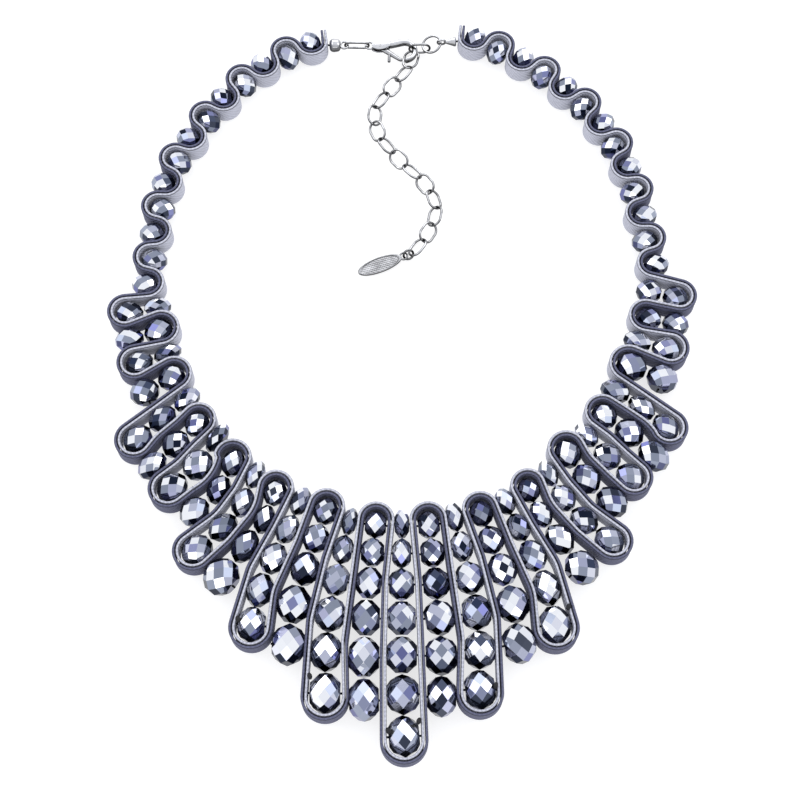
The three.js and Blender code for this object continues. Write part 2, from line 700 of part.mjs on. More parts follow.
function claspLeverSolid() {
  const innerGap = LEVER_TIP_GAP / (CLAW_RADIUS - CLAW_WALL / 2);
  const outerGap = LEVER_TIP_GAP / (CLAW_RADIUS + CLAW_WALL / 2);
  const arm = bandOutline(
    LEVER_WIDTH,
    -1,
    CLAW_TIP_INNER_ANGLE - innerGap,
    CLAW_TIP_OUTER_ANGLE - outerGap,
  );
  const tab = new THREE.BoxGeometry(TAB_LENGTH, TAB_WIDTH, LEVER_THICKNESS);
  tab.translate(TAB_LENGTH / 2, 0, 0);
  tab.rotateZ(TAB_ANGLE);
  tab.translate(
    TAB_DISTANCE * Math.cos(LEVER_SLOPE),
    -TAB_DISTANCE * Math.sin(LEVER_SLOPE),
    0,
  );
  const bore = disc(PIN_DIAMETER / 2 + PIN_CLEARANCE, 2 * LEVER_THICKNESS);
  return joined([slab(arm, LEVER_THICKNESS), disc(LEVER_KNUCKLE_RADIUS, LEVER_THICKNESS), tab])
    .subtract(solidOf(bore));
}

// Extender chain: the held link on edge, then oval links that lean to either side in turn
function extenderChain() {
  const heldHeight = CLASP_MIDDLE_HEIGHT;
  const held = rowPoint(row.heldLink, row.claw.y + HELD_LINK_ACROSS, heldHeight);
  const links = [
    setLoop(wireLoop(LINK_LENGTH, LINK_WIDTH), {
      middle: held,
      heading: ROW_TURN,
      tilt: Math.PI / 2,
    }),
  ];
  const pitch = LINK_LENGTH - 2 * WIRE_DIAMETER + LINK_BITE;
  const start = new THREE.Vector2(held.x, held.y).add(FIRST_JOINT_STEP);
  const curve = new THREE.SplineCurve(EXTENDER_ROUTE.map((step) => step.clone().add(start)));
  const count = Math.floor(curve.getLength() / pitch);
  const restingHeight =
    ((LINK_WIDTH - WIRE_DIAMETER) / 2) * Math.sin(LINK_TILT) + WIRE_RADIUS + LINK_LIFT;
  const heights = [FIRST_JOINT_HEIGHT, SECOND_JOINT_HEIGHT];
  const joints = [];
  for (let i = 0; i <= count; i++) {
    const point = curve.getPointAt((i * pitch) / curve.getLength());
    joints.push(new THREE.Vector3(point.x, point.y, heights[i] ?? restingHeight));
  }
  for (let i = 0; i < count; i++) {
    const axis = new THREE.Vector3().subVectors(joints[i + 1], joints[i]);
    const lean = i % 2 === 0 ? -LINK_TILT : LINK_TILT;
    links.push(
      setLoop(wireLoop(LINK_LENGTH, LINK_WIDTH), {
        middle: new THREE.Vector3().addVectors(joints[i], joints[i + 1]).multiplyScalar(0.5),
        heading: Math.atan2(axis.y, axis.x),
        tilt: i === 0 ? FIRST_LINK_TILT : lean,
        slope: Math.asin(axis.z / axis.length()),
      }),
    );
  }
  return { solid: joined(links), joints };
}

// The tag's ring and the tag, on the end of the chain
function tagPieces(joints) {
  const [before, end] = joints.slice(-2);
  const axis = new THREE.Vector3().subVectors(end, before).normalize();
  const towardsTag = new THREE.Vector3(-Math.cos(TAG_TURN), -Math.sin(TAG_TURN), 0);
  const ringRadius = (TAG_RING_DIAMETER - WIRE_DIAMETER) / 2;
  const ringMiddle = axis.multiplyScalar(WIRE_RADIUS - LINK_BITE / 2 - WIRE_STEP).add(end);
  ringMiddle.addScaledVector(towardsTag, ringRadius);
  ringMiddle.z = ringRadius * Math.sin(TAG_RING_TILT) + WIRE_RADIUS + LINK_LIFT;
  const ring = setLoop(wireLoop(TAG_RING_DIAMETER, TAG_RING_DIAMETER), {
    middle: ringMiddle,
    heading: TAG_TURN,
    tilt: TAG_RING_TILT,
  });

  const hole = ringMiddle.clone().addScaledVector(towardsTag, ringRadius);
  const holeDistance = TAG_LENGTH / 2 + TAG_LUG_RADIUS / 2;
  const oval = (length, width) => {
    const outline = new THREE.Shape();
    outline.absellipse(0, 0, length / 2, width / 2, 0, 2 * Math.PI);
    return outline;
  };
  const recess = slab(
    oval(TAG_LENGTH - 2 * TAG_RIM_WIDTH, TAG_WIDTH - 2 * TAG_RIM_WIDTH),
    2 * TAG_RECESS,
    TAG_POINTS,
  );
  recess.translate(0, 0, TAG_THICKNESS / 2);
  const plate = slab(oval(TAG_LENGTH, TAG_WIDTH), TAG_THICKNESS, TAG_POINTS);
  const tag = geometryOf(
    joined([plate, disc(TAG_LUG_RADIUS, TAG_THICKNESS, holeDistance, 0)])
      .subtract(solidOf(disc(TAG_HOLE_DIAMETER / 2, 2 * TAG_THICKNESS, holeDistance, 0)))
      .subtract(solidOf(recess)),
  );
  // The hole's end hangs on the ring and the far end rests on the ground
  const restingHeight = TAG_THICKNESS / 2 + LINK_LIFT;
  const slope = Math.asin((hole.z - restingHeight) / (holeDistance + TAG_LENGTH / 2));
  tag.translate(-holeDistance, 0, 0);
  tag.rotateY(-slope);
  tag.rotateZ(TAG_TURN);
  tag.translate(hole.x, hole.y, hole.z);
  return { ring, tag };
}

// Assembly

const group = new THREE.Group();
group.name = "bib_necklace";

function addMesh(name, geometry, { color, metalness, roughness }) {
  const material = new THREE.MeshStandardMaterial({ color, metalness, roughness });
  const mesh = new THREE.Mesh(geometry, material);
  mesh.name = name;
  group.add(mesh);
}

const leftEnd = rowPoint(0, 0, 0);
const rightEnd = rowPoint(row.length, 0, 0);
const leftNeck = neckString(new THREE.Vector2(leftEnd.x, leftEnd.y), LEFT_NECK_LINE, 1);
const rightNeck = neckString(new THREE.Vector2(rightEnd.x, rightEnd.y), RIGHT_NECK_LINE, -1);

// The braid from the left end to the right: each turn round a bead bends the other way, and the
// passes between them bend a little
const beadTurns = [
  ...leftNeck.map(({ turn }) => turn),
  ...FOLDS.map(foldTurn),
  ...rightNeck.map(({ turn }) => turn).reverse(),
];
beadTurns.forEach((turn, i) => {
  turn.side = i % 2 === 0 ? -1 : 1;
});
const turns = beadTurns.flatMap((turn, i) => {
  const fold = FOLDS[i - NECK_BEADS_A_SIDE];
  const next = FOLDS[i - NECK_BEADS_A_SIDE + 1];
  if (!fold || !next) return [turn];
  return [turn, ...bendPass(turn, passPoints(fold, next), beadTurns[i + 1])];
});
addHeadings(turns, BRAID_END_LEAN - Math.PI / 2, Math.PI / 2 - BRAID_END_LEAN);

// The braid's two outer faces are the walls that the beads lie between
const walls = [-BRAID_HALF_WIDTH, BRAID_HALF_WIDTH].flatMap((offset) => {
  const line = braidLine(turns, offset);
  return line.slice(1).map((point, i) => [line[i], point]);
});

const crimpHeight = middleHeight(leftEnd.y);
const neckSides = [
  { side: "left", string: leftNeck, crimpEnd: row.leftCrimp + CRIMP_BORE_DEPTH - 0.3 },
  {
    side: "right",
    string: rightNeck,
    crimpEnd: row.rightCrimp - CRIMP_BORE_DEPTH + 0.3,
  },
];
let passages = [];
for (const { side, string, crimpEnd } of neckSides) {
  const beads = string.map(({ place, heading }) => fittedBead(walls, place, heading));
  const crimpPoint = rowPoint(crimpEnd, 0, crimpHeight);
  const thread = threadRods(crimpPoint, beads, THREAD_DIAMETER);
  const solid = joined([...beads.map(beadGeometry), ...thread]);
  addMesh(`neck_beads_${side}`, geometryOf(solid), MATERIALS.crystal);
  const passage = THREAD_DIAMETER + 2 * THREAD_CLEARANCE;
  passages = passages.concat(threadRods(crimpPoint, beads, passage));
}

FOLDS.forEach((fold, i) => {
  const solid = joined(fittedColumn(walls, fold).map(beadGeometry));
  const number = String(i + 1).padStart(2, "0");
  addMesh(`bead_column_${number}`, geometryOf(solid), MATERIALS.crystal);
});

const passageSolid = joined(passages);
const pale = plyGeometry(turns, PLY_GAP / 2, BRAID_HALF_WIDTH);
const dark = plyGeometry(turns, -BRAID_HALF_WIDTH, -PLY_GAP / 2);
addMesh("braid_light", geometryOf(solidOf(pale).subtract(passageSolid)), MATERIALS.paleBraid);
addMesh("braid_dark", geometryOf(solidOf(dark).subtract(passageSolid)), MATERIALS.darkBraid);

addMesh(
  "crimp_left",
  geometryOf(
    crimpSolid(
      LEFT_CRIMP_DIAMETER,
      rowPoint(row.leftCrimp, 0, crimpHeight),
      ROW_TURN,
      rowPoint(row.leftEye, 0, crimpHeight),
      0,
    ),
  ),
  MATERIALS.silver,
);
addMesh(
  "crimp_right",
  geometryOf(
    crimpSolid(
      RIGHT_CRIMP_DIAMETER,
      rowPoint(row.rightCrimp, 0, crimpHeight),
      Math.PI + ROW_TURN,
      rowPoint(row.rightEye, 0, crimpHeight),
      Math.PI / 2,
    ),
  ),
  MATERIALS.silver,
);

const linkSlope = Math.asin((CLASP_MIDDLE_HEIGHT - crimpHeight) / CLASP_LINK_LENGTH);
addMesh(
  "clasp_link",
  setLoop(wireLoop(CLASP_LINK_LENGTH, CLASP_LINK_WIDTH), {
    middle: rowPoint(row.claspLink, 0, (CLASP_MIDDLE_HEIGHT + crimpHeight) / 2),
    heading: ROW_TURN,
    tilt: Math.PI / 2,
    slope: linkSlope,
  }),
  MATERIALS.silver,
);

for (const [name, solid] of [
  ["clasp_body", claspBodySolid()],
  ["clasp_lever", claspLeverSolid()],
]) {
  const geometry = geometryOf(solid);
  geometry.rotateZ(CLASP_TURN + ROW_TURN);
  geometry.translate(...rowPoint(row.pivot.x, row.pivot.y, CLASP_MIDDLE_HEIGHT));
  addMesh(name, geometry, MATERIALS.silver);
}

addMesh(
  "extender_ring",
  setLoop(wireLoop(EXTENDER_RING_DIAMETER, EXTENDER_RING_DIAMETER), {
    middle: rowPoint(row.ring, 0, EXTENDER_RING_HEIGHT),
    heading: ROW_TURN,
    slope: EXTENDER_RING_TILT,
  }),
  MATERIALS.silver,
);

const chain = extenderChain();
addMesh("extender_chain", geometryOf(chain.solid), MATERIALS.silver);
const { ring: tagRing, tag } = tagPieces(chain.joints);
addMesh("tag_ring", tagRing, MATERIALS.silver);
addMesh("tag", tag, MATERIALS.silver);

// The origin goes to the middle of the footprint, at the height of the lowest bead
const box = new THREE.Box3().setFromObject(group);
const middle = box.getCenter(new THREE.Vector3());
group.position.set(-middle.x, -middle.y, -box.min.z);

export default group;
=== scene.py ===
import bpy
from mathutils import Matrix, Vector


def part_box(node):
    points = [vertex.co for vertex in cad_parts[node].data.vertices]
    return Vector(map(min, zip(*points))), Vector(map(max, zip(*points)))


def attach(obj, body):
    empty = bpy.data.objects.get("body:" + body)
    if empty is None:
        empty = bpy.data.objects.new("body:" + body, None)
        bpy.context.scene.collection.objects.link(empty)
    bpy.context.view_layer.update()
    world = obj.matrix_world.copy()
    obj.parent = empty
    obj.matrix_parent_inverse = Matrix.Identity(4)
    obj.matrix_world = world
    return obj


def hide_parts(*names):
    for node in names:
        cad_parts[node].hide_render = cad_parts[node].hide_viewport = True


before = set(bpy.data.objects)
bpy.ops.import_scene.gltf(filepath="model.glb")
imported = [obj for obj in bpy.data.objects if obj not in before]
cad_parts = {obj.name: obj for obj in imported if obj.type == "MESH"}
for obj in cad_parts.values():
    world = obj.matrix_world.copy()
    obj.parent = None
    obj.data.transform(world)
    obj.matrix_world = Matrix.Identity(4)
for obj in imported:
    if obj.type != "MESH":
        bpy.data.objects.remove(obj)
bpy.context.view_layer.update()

# Bib necklace, lying flat: a two-ply braid on edge that folds round columns of faceted beads,
# with a beaded neck, a lobster clasp and an extender chain. Metres, +Z up, the neck towards +Y.

import math

import bpy
import numpy as np
from bpy.props import FloatProperty, FloatVectorProperty, IntProperty, PointerProperty

bl_info = {
    "name": "Bib Necklace",
    "version": (1, 0, 0),
    "blender": (4, 5, 0),
    "location": "View3D > Sidebar > Necklace",
    "description": "Builds the braid, beads, fittings and photo stage of a bib necklace",
    "category": "Add Mesh",
}

MM = 0.001

# Overall size: the folds' and beads' places below are shares of these two
NECKLACE_WIDTH = 158 * MM
NECKLACE_DEPTH = 210 * MM

# Braid, as the solids have it
PLY_THICKNESS = 0.7 * MM
PLY_GAP = 0.25 * MM
BRAID_HEIGHT = 6 * MM
BRAID_END_LENGTH = 3.2 * MM
BRAID_END_LEAN = math.radians(8)
BIB_MIDDLE_HEIGHT = 5 * MM
NECK_MIDDLE_HEIGHT = 3.75 * MM
FALL_START = -0.34
FALL_END = -0.1
BEAD_THICKNESS_SHARE = 0.78
BEAD_CLEARANCE = 0.25 * MM
BRAID_HALF_WIDTH = PLY_THICKNESS + PLY_GAP / 2
BED_WIDTH = BEAD_CLEARANCE + BRAID_HALF_WIDTH
SPARE_SWING = math.radians(45)
BEND_RADIUS = 12 * MM
BEND_SHARES = (0.3, 0.7)
FEWEST_BEADS_TO_BEND = 3
HEADING_STEP = 0.2 * MM
WALL_STEP = 0.2 * MM
POINTS_A_TURN = 49

# The plies' outline and the slow wave in the braid's height: its size and its two wavelengths
PLY_EDGE_ANGLES = [90, 62, 35, 8]
PLY_SIDE_HEIGHTS = [0.3, 0.1, 0.0, -0.1, -0.3]
PLY_GROOVE_WIDTH = 0.12
FULLEST_EDGE = 0.98
SHOULDER_WIDTH = 0.14 * MM
WAVE_HEIGHT = 0.08 * MM
WAVE_LENGTHS = (9.7 * MM, 4.1 * MM)

# Beads: sides of the solids' beads, how much of a bead's length its walls are looked for over,
# the room kept beside it, and how far its heading strays
SOLID_BEAD_SIDES = 10
WALL_SHARE = 0.6
BESIDE_BEAD = 0.1 * MM
BEAD_STRAY = math.radians(2.5)

# Tones that a facet can have and the chance of each, by how far up the facet faces at least: the
# # slope's sets are painted reflection and painted shade, the chances within a set the coating's
# random variation
FACET_TONES = [
    (0.9, [0.02, 0.4, 0.68, 1.0], [0.34, 0.26, 0.14, 0.26]),
    (0.64, [0.04, 0.4, 0.68, 1.0], [0.06, 0.28, 0.2, 0.46]),
    (0.44, [0.03, 0.38, 0.62, 0.97], [0.28, 0.34, 0.16, 0.22]),
    (0.22, [0.0, 0.08, 0.3, 0.45], [0.5, 0.22, 0.18, 0.1]),
]
TONE_STRAY = 0.03
VIOLET_CASTS = ([0.0, 0.25, 0.65], [0.76, 0.16, 0.08])

# Neck strings
NECK_BEADS_A_SIDE = 13
NECK_BEAD_DIAMETER = 7.3 * MM
NECK_ZIGZAG = 0.75 * MM
NECK_TURN_SHARE = 0.488
THREAD_RADIUS = 0.28 * MM
THREAD_REACH = 0.5 * MM

# Wire pieces and the clasp row
WIRE_DIAMETER = 0.65 * MM
WIRE_RADIUS = WIRE_DIAMETER / 2
WIRE_STEP = WIRE_DIAMETER + 0.2 * MM
EYE_DIAMETER = 2.85 * MM
EYE_RADIUS = (EYE_DIAMETER - WIRE_DIAMETER) / 2
CRIMP_LENGTH = 3.2 * MM
CRIMP_GAP = 0.35 * MM
CLASP_LINK_LENGTH = 7.4 * MM
CLASP_LINK_WIDTH = 3.2 * MM
EXTENDER_RING_DIAMETER = 6 * MM
EXTENDER_RING_TILT = math.radians(18)
EXTENDER_RING_SLACK = 1.1 * MM
EXTENDER_RING_HEIGHT = 2.75 * MM
HELD_LINK_GAP = 0.65 * MM
HELD_LINK_ACROSS = 0.8 * MM
FIRST_JOINT_STEP = (-1.9 * MM, 0.1 * MM)
LINK_LENGTH = 6.5 * MM
LINK_WIDTH = 4.8 * MM
LINK_PITCH = LINK_LENGTH - 2 * WIRE_DIAMETER + 0.2 * MM
LINK_TILT = math.radians(36)
FIRST_LINK_TILT = math.radians(14)
FIRST_JOINT_HEIGHTS = (1.2 * MM, 1.5 * MM)
LINK_LIFT = 0.05 * MM
TAG_RING_DIAMETER = 3.4 * MM
TAG_RING_TILT = math.radians(56)
TAG_TURN = math.radians(20)
TAG_LENGTH = 12.6 * MM
TAG_WIDTH = 4.4 * MM
TAG_THICKNESS = 0.6 * MM
TAG_LUG_RADIUS = 1.25 * MM
CLAW_RADIUS = 3 * MM
CLAW_WALL = 1.3 * MM
CLAW_HEIGHT = 2.2 * MM
CLASP_REACH = 7.2 * MM
CLASP_TURN = math.radians(-13)
CLASP_MIDDLE_HEIGHT = 3.1 * MM
CLASP_EYE_DISTANCE = 3 * MM
CLASP_ROOT_LENGTH = 2.3 * MM
CLASP_ROOT_END = 1.3 * MM
CHEEK_THICKNESS = 0.4 * MM
CHEEK_REACH = 3 * MM
CLAW_TIP_ANGLE = math.radians(-80)
PIN_RADIUS = 0.35 * MM
LEVER_SLOPE = math.asin(CLAW_RADIUS / CLASP_REACH)
LEVER_THICKNESS = 0.8 * MM
LEVER_KNUCKLE_RADIUS = 0.95 * MM
LEVER_TIP_REACH = 0.6 * MM
TAB_LENGTH = 3.1 * MM
TAB_DISTANCE = 3.3 * MM
TAB_ANGLE = math.radians(-80)
LEVER_START = 0.7 * MM
CLAW_OVERLAP = 0.5 * MM
PIN_ROOM = 0.15 * MM
PIN_HEAD = 0.08 * MM
PIN_DIMPLE = 0.05 * MM
BAR_POWER = 2.6
LEAST_END = 0.03
KNUCKLE_POWER = 2 / 0.7

# Half widths along the clasp's bars
CLAW_HALF_WIDTHS = np.array([0.7, 0.92, 0.92, 0.8, 0.68, 0.6, 0.5]) * MM
CHEEK_HALF_WIDTHS = np.array([0.85, 1.05, 1.25, 1.2, 0.85, 0.62]) * MM
ROOT_HALF_WIDTH = 0.85 * MM
LEVER_HALF_WIDTHS = np.array([0.5, 0.82, 0.8, 0.68, 0.58, 0.5, 0.42]) * MM
TAB_HALF_WIDTHS = np.array([0.36, 0.36, 0.42, 0.45]) * MM

# Crimps: the side, the barrel's heading in the row, the eye's tilt, the barrel's diameter, the
# rounding of its edge, and the far end's radius as a share of the near end's
CRIMPS = [
    ("left", 0.0, 0.0, 4 * MM, 1.2 * MM, 0.95),
    ("right", math.pi, math.pi / 2, 2.8 * MM, 0.4 * MM, 0.4),
]
CRIMP_FIT = 0.97
CRIMP_ROUNDING = 0.6
CRIMP_HOLES = (0.08, 0.2)

# The tag's recess, as shares of its half length: where the rim starts and the recess ends; and
# the stipple's height and its two wavelengths
TAG_RECESS_END = 0.84
TAG_RIM_START = 0.89
STIPPLE_HEIGHT = 0.09 * MM
STIPPLE_LENGTHS = (0.95 * MM, 0.8 * MM)
TAG_LUG_WIRE = 0.52 * MM

# The tag's rings from its middle out: on top as shares of its half length, then round the edge
# and under it as shares and heights over its thickness; the top's height at its rim, how much
# lower the recess is, and the share at which the rim rounds off and its height there
TAG_TOP_SHARES = [*np.linspace(0.02, TAG_RECESS_END, 26), 0.87, 0.9, 0.94, 0.98]
TAG_EDGE = [(1.0, 0.3), (1.0, -0.3), (0.97, -0.5), (0.5, -0.5), (0.02, -0.5)]
TAG_RIM_HEIGHT = 0.5
TAG_RECESS_DEPTH = 0.33
TAG_ROUNDING_START = 0.96
TAG_ROUNDING_HEIGHT = 0.44
TAG_POINTS_AROUND = 150

# The row of the clasp between the two ends of the neck, in shares of the width and the depth
ROW_MIDDLE = (-0.013, 0.472)
ROW_TURN = math.radians(2)

# The neck's line on each side, from near its end bead down to the bib, in the same shares
LEFT_NECK_LINE = [(-0.25, 0.431), (-0.344, 0.352), (-0.409, 0.253), (-0.43, 0.11)]
RIGHT_NECK_LINE = [(0.222, 0.442), (0.328, 0.372), (0.398, 0.278), (0.434, 0.138)]

# Folds of the bib from left to right: the middle of the bead in the closed end and of the bead
# in the mouth, in the same shares, the number of beads, the mouth bead's diameter over the
# closed end's, and where the column bends: at which share of its length, and how far to the
# left of the straight way, as a share of the width
FOLDS = [
    (-0.458, 0.071, -0.411, 0.078, 2, 1.0, 0.5, 0),
    (-0.407, 0.046, -0.455, 0.034, 2, 1.0, 0.5, 0),
    (-0.436, 0.002, -0.39, 0.016, 2, 1.0, 0.5, 0),
    (-0.381, -0.017, -0.426, -0.034, 2, 1.05, 0.5, 0),
    (-0.431, -0.099, -0.354, -0.046, 3, 0.95, 0.5, 0.006),
    (-0.335, -0.079, -0.404, -0.134, 3, 1.2, 0.5, 0),
    (-0.37, -0.162, -0.296, -0.1, 3, 1.0, 0.5, -0.006),
    (-0.275, -0.129, -0.33, -0.194, 3, 1.1, 0.5, 0.009),
    (-0.325, -0.241, -0.233, -0.146, 4, 0.9, 0.5, -0.015),
    (-0.203, -0.168, -0.285, -0.274, 4, 1.4, 0.45, 0.012),
    (-0.233, -0.333, -0.159, -0.18, 5, 0.85, 0.3, 0.014),
    (-0.12, -0.192, -0.174, -0.357, 5, 1.45, 0.72, -0.01),
    (-0.116, -0.414, -0.081, -0.205, 6, 0.72, 0.4, 0.012),
    (-0.039, -0.209, -0.057, -0.422, 6, 1.5, 0.54, -0.005),
    (0.006, -0.464, 0.002, -0.208, 7, 0.75, 0.3, 0.003),
    (0.046, -0.209, 0.064, -0.418, 6, 1.4, 0.6, 0.007),
    (0.124, -0.41, 0.087, -0.199, 6, 0.8, 0.4, -0.014),
    (0.131, -0.195, 0.191, -0.355, 5, 1.45, 0.7, 0.007),
    (0.244, -0.333, 0.169, -0.18, 5, 0.74, 0.3, -0.015),
    (0.209, -0.165, 0.29, -0.263, 4, 1.4, 0.35, -0.008),
    (0.336, -0.229, 0.245, -0.142, 4, 0.9, 0.55, 0.013),
    (0.275, -0.118, 0.341, -0.182, 3, 1.15, 0.5, -0.006),
    (0.375, -0.148, 0.306, -0.094, 3, 0.95, 0.5, 0.001),
    (0.338, -0.068, 0.416, -0.121, 3, 1.25, 0.5, 0.004),
    (0.438, -0.083, 0.359, -0.034, 3, 1.05, 0.5, -0.009),
    (0.387, -0.003, 0.437, -0.019, 2, 1.0, 0.5, 0),
    (0.447, 0.021, 0.399, 0.032, 2, 1.0, 0.5, 0),
    (0.42, 0.063, 0.465, 0.055, 2, 1.0, 0.5, 0),
    (0.468, 0.093, 0.424, 0.102, 2, 1.0, 0.5, 0),
]

# Tones of the plating, a painted reflection: how far a surface faces up, and the share of the colour
# it has there
WIRE_TONES = [(0.3, 0.035), (0.7, 0.12), (0.88, 0.36), (0.99, 0.9)]
PLATE_TONES = [(0.05, 0.06), (0.45, 0.22), (0.75, 0.52), (0.97, 0.9)]
# The lever's tones are a darker copy of the same plating: painted shade
LEVER_SHADED_TONES = [(0.2, 0.02), (0.6, 0.08), (0.86, 0.26), (1.0, 0.6)]
TAG_TONES = [(0.4, 0.02), (0.78, 0.12), (0.93, 0.34), (1.0, 0.78)]

# A cut end of the sewing thread: half its length, how far it leans out, its arch, its radius, how
# high it stands on its bead, as a share of the diameter, and the thread's end inside a crimp
END_REACH = 0.8 * MM
END_LEAN = 0.3 * MM
END_ARCH = 0.4 * MM
END_RADIUS = 0.6 * MM
END_RISE = 0.28
INSIDE_CRIMP = 0.8 * MM
LEAST_THREAD_END = 0.02

# Where the cut ends are: the fold, counted from 1, the side of its last bead, and how far
# towards the mouth, as a share of the bead's diameter
THREAD_ENDS = [
    (11, -1, 0.05),
    (13, -1, 0.35),
    (15, -1, 0.1),
    (15, 1, 0.3),
    (17, 1, 0.05),
    (19, 1, 0.35),
]

# The extender chain's route over the ground: steps from the held link to the tag's ring
EXTENDER_ROUTE = [
    (0, 0),
    (-1.7 * MM, -6.4 * MM),
    (-8.5 * MM, -15.1 * MM),
    (-11.3 * MM, -23 * MM),
    (-5.7 * MM, -33.2 * MM),
    (4.7 * MM, -44.6 * MM),
    (6 * MM, -53.8 * MM),
    (0.7 * MM, -62.8 * MM),
    (-1.6 * MM, -66 * MM),
]

# Stage: the photo's middle below the necklace's, the sensor, the floor's half width, the sky, and
# the softboxes' names, places, widths, depths and powers
PHOTO_MIDDLE_STEP = -8.3 * MM
SENSOR_WIDTH = 36
FLOOR_HALF_WIDTH = 1.5
SKY_COLOUR = (0.93, 0.95, 1.0, 1)
SKY_STRENGTH = 0.95
SOFTBOXES = [
    ("left_softbox", (-0.62, 0.12, 0.5), 0.5, 0.7, 1.6),
    ("right_softbox", (0.62, 0.12, 0.5), 0.5, 0.7, 1.6),
    ("back_softbox", (0.0, 0.75, 0.55), 0.9, 0.4, 2.0),
    ("front_softbox", (0.0, -0.85, 0.4), 0.8, 0.3, 1.0),
]


# Plane geometry


def place(shares):
    """A point in plan from its shares of the width and the depth."""
    return np.array(shares, float) * (NECKLACE_WIDTH, NECKLACE_DEPTH)


def unit(angle):
    """The unit vector (cos a, sin a), for one angle or an array of them."""
    return np.stack([np.cos(angle), np.sin(angle)], -1)


def left_of(angle):
    """The unit vector a quarter turn to the left of a heading: (-sin a, cos a)."""
    return np.stack([-np.sin(angle), np.cos(angle)], -1)


def smoothstep(x, start, end):
    """3t^2 - 2t^3 of t, the share of the way from start to end, held between 0 and 1."""
    t = np.clip((x - start) / (end - start), 0, 1)
    return t * t * (3 - 2 * t)


def middle_height(y):
    """Height of the braid's middle above the ground, which falls from the bib to the neck."""
    fall = smoothstep(y / NECKLACE_DEPTH, FALL_START, FALL_END)
    return BIB_MIDDLE_HEIGHT + (NECK_MIDDLE_HEIGHT - BIB_MIDDLE_HEIGHT) * fall


def distances_along(line):
    """The distance along a line at each of its points: the running sum of its steps' lengths."""
    return np.concatenate([[0], np.cumsum(np.linalg.norm(np.diff(line, axis=0), axis=1))])


def curve_through(points, steps=400):
    """The Catmull-Rom curve through the points with its ends held, as even small steps: each
    stretch is the cubic with the two points' slopes, half the way between their neighbours.
    Returns the points and the distance along at each."""
    p = np.asarray(points, float)
    p = np.vstack([p[:1], p, p[-1:]])
    t = np.linspace(0, 1, steps, endpoint=False)[None, :, None]
    a, b, c, d = (p[k : len(p) - 3 + k, None, :] for k in range(4))
    start, end = (c - a) / 2, (d - b) / 2
    cubic = (2 * b - 2 * c + start + end) * t**3 + (-3 * b + 3 * c - 2 * start - end) * t**2
    line = (cubic + start * t + b).reshape(-1, p.shape[1])
    line = np.vstack([line, p[-1]])
    return line, distances_along(line)


def at_distance(line, along, distance):
    """Points of a line at given distances along it."""
    return np.stack([np.interp(distance, along, line[:, k]) for k in range(line.shape[1])], -1)


def headings_at(line, along, distances):
    """Headings of a line at given distances along it: the angle whose tangent is the rise over
    the run from the point a step behind to the one a step ahead."""
    ahead = at_distance(line, along, np.minimum(distances + HEADING_STEP, along[-1]))
    behind = at_distance(line, along, np.maximum(distances - HEADING_STEP, 0))
    return np.arctan2(*(ahead - behind).T[::-1])


# Clasp row


def lay_out_row():
    """Distances from the left end bead along the clasp row: each piece's middle or start is the
    one before it plus its own reach, less the wire where two of them interlock."""
    end_reach = (
        BEAD_THICKNESS_SHARE * NECK_BEAD_DIAMETER / 2
        + BEAD_CLEARANCE
        + 2 * BRAID_HALF_WIDTH
        + CRIMP_GAP
    )
    eye_reach = CRIMP_LENGTH + EYE_RADIUS - 0.15 * WIRE_DIAMETER
    clasp = unit(CLASP_TURN)
    row = {"left_crimp": end_reach, "left_eye": end_reach + eye_reach}
    link_half = (CLASP_LINK_LENGTH - WIRE_DIAMETER) / 2
    row["clasp_link"] = row["left_eye"] + EYE_RADIUS - WIRE_STEP + link_half
    clasp_eye = row["clasp_link"] + link_half - WIRE_STEP + EYE_RADIUS
    row["pivot"] = np.array([clasp_eye, 0]) + CLASP_EYE_DISTANCE * clasp
    row["claw"] = row["pivot"] + CLASP_REACH * clasp
    held_half = (LINK_LENGTH - WIRE_DIAMETER) / 2
    claw_inside = row["claw"][0] + CLAW_RADIUS - CLAW_WALL / 2
    row["held_link"] = claw_inside - HELD_LINK_GAP - WIRE_RADIUS + held_half
    ring_reach = (EXTENDER_RING_DIAMETER - WIRE_DIAMETER) / 2 * math.cos(EXTENDER_RING_TILT)
    row["ring"] = row["held_link"] + held_half - WIRE_STEP - EXTENDER_RING_SLACK + ring_reach
    row["right_eye"] = row["ring"] + ring_reach - WIRE_STEP + EYE_RADIUS
    row["right_crimp"] = row["right_eye"] + eye_reach
    row["length"] = row["right_crimp"] + end_reach
    return row


ROW = lay_out_row()


def row_point(along, across=0.0):
    """A point of the clasp row in plan: its distances along and across the row, turned by the
    row's turn about the row's middle."""
    x, y = along - ROW["length"] / 2, across
    turned = x * unit(ROW_TURN) + y * left_of(ROW_TURN)
    return turned + place(ROW_MIDDLE)


# The solids' frame has its origin at the middle of the footprint: the extender ring tells how
# far that is from the point that the shares are measured from.
_low, _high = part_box("extender_ring")
ORIGIN_STEP = np.array([(_low.x + _high.x) / 2, (_low.y + _high.y) / 2]) - row_point(ROW["ring"])


# Braid line


def neck_string(end, line, closed_side):
    """The beads of a neck string and the braid's turns round them. The beads stand at even
    distances along the neck's curve, each a little to the side that its turn is open to."""
    curve, along = curve_through([end, *[place(p) for p in line]])
    distances = np.linspace(0, along[-1], NECK_BEADS_A_SIDE)
    middles = at_distance(curve, along, distances)
    headings = headings_at(curve, along, distances)
    spacing = along[-1] / (NECK_BEADS_A_SIDE - 1)
    bed_radius = BEAD_THICKNESS_SHARE * NECK_BEAD_DIAMETER / 2 + BED_WIDTH
    radius = min(bed_radius, NECK_TURN_SHARE * spacing)
    sides = np.where(np.arange(NECK_BEADS_A_SIDE) % 2 == 0, closed_side, -closed_side)
    towards_turn = left_of(headings) * sides[:, None]
    beads = middles - NECK_ZIGZAG * towards_turn
    turns = beads + (NECK_BEAD_DIAMETER / 2 + BED_WIDTH - radius) * towards_turn
    return beads, headings, [(*turn, radius) for turn in turns]


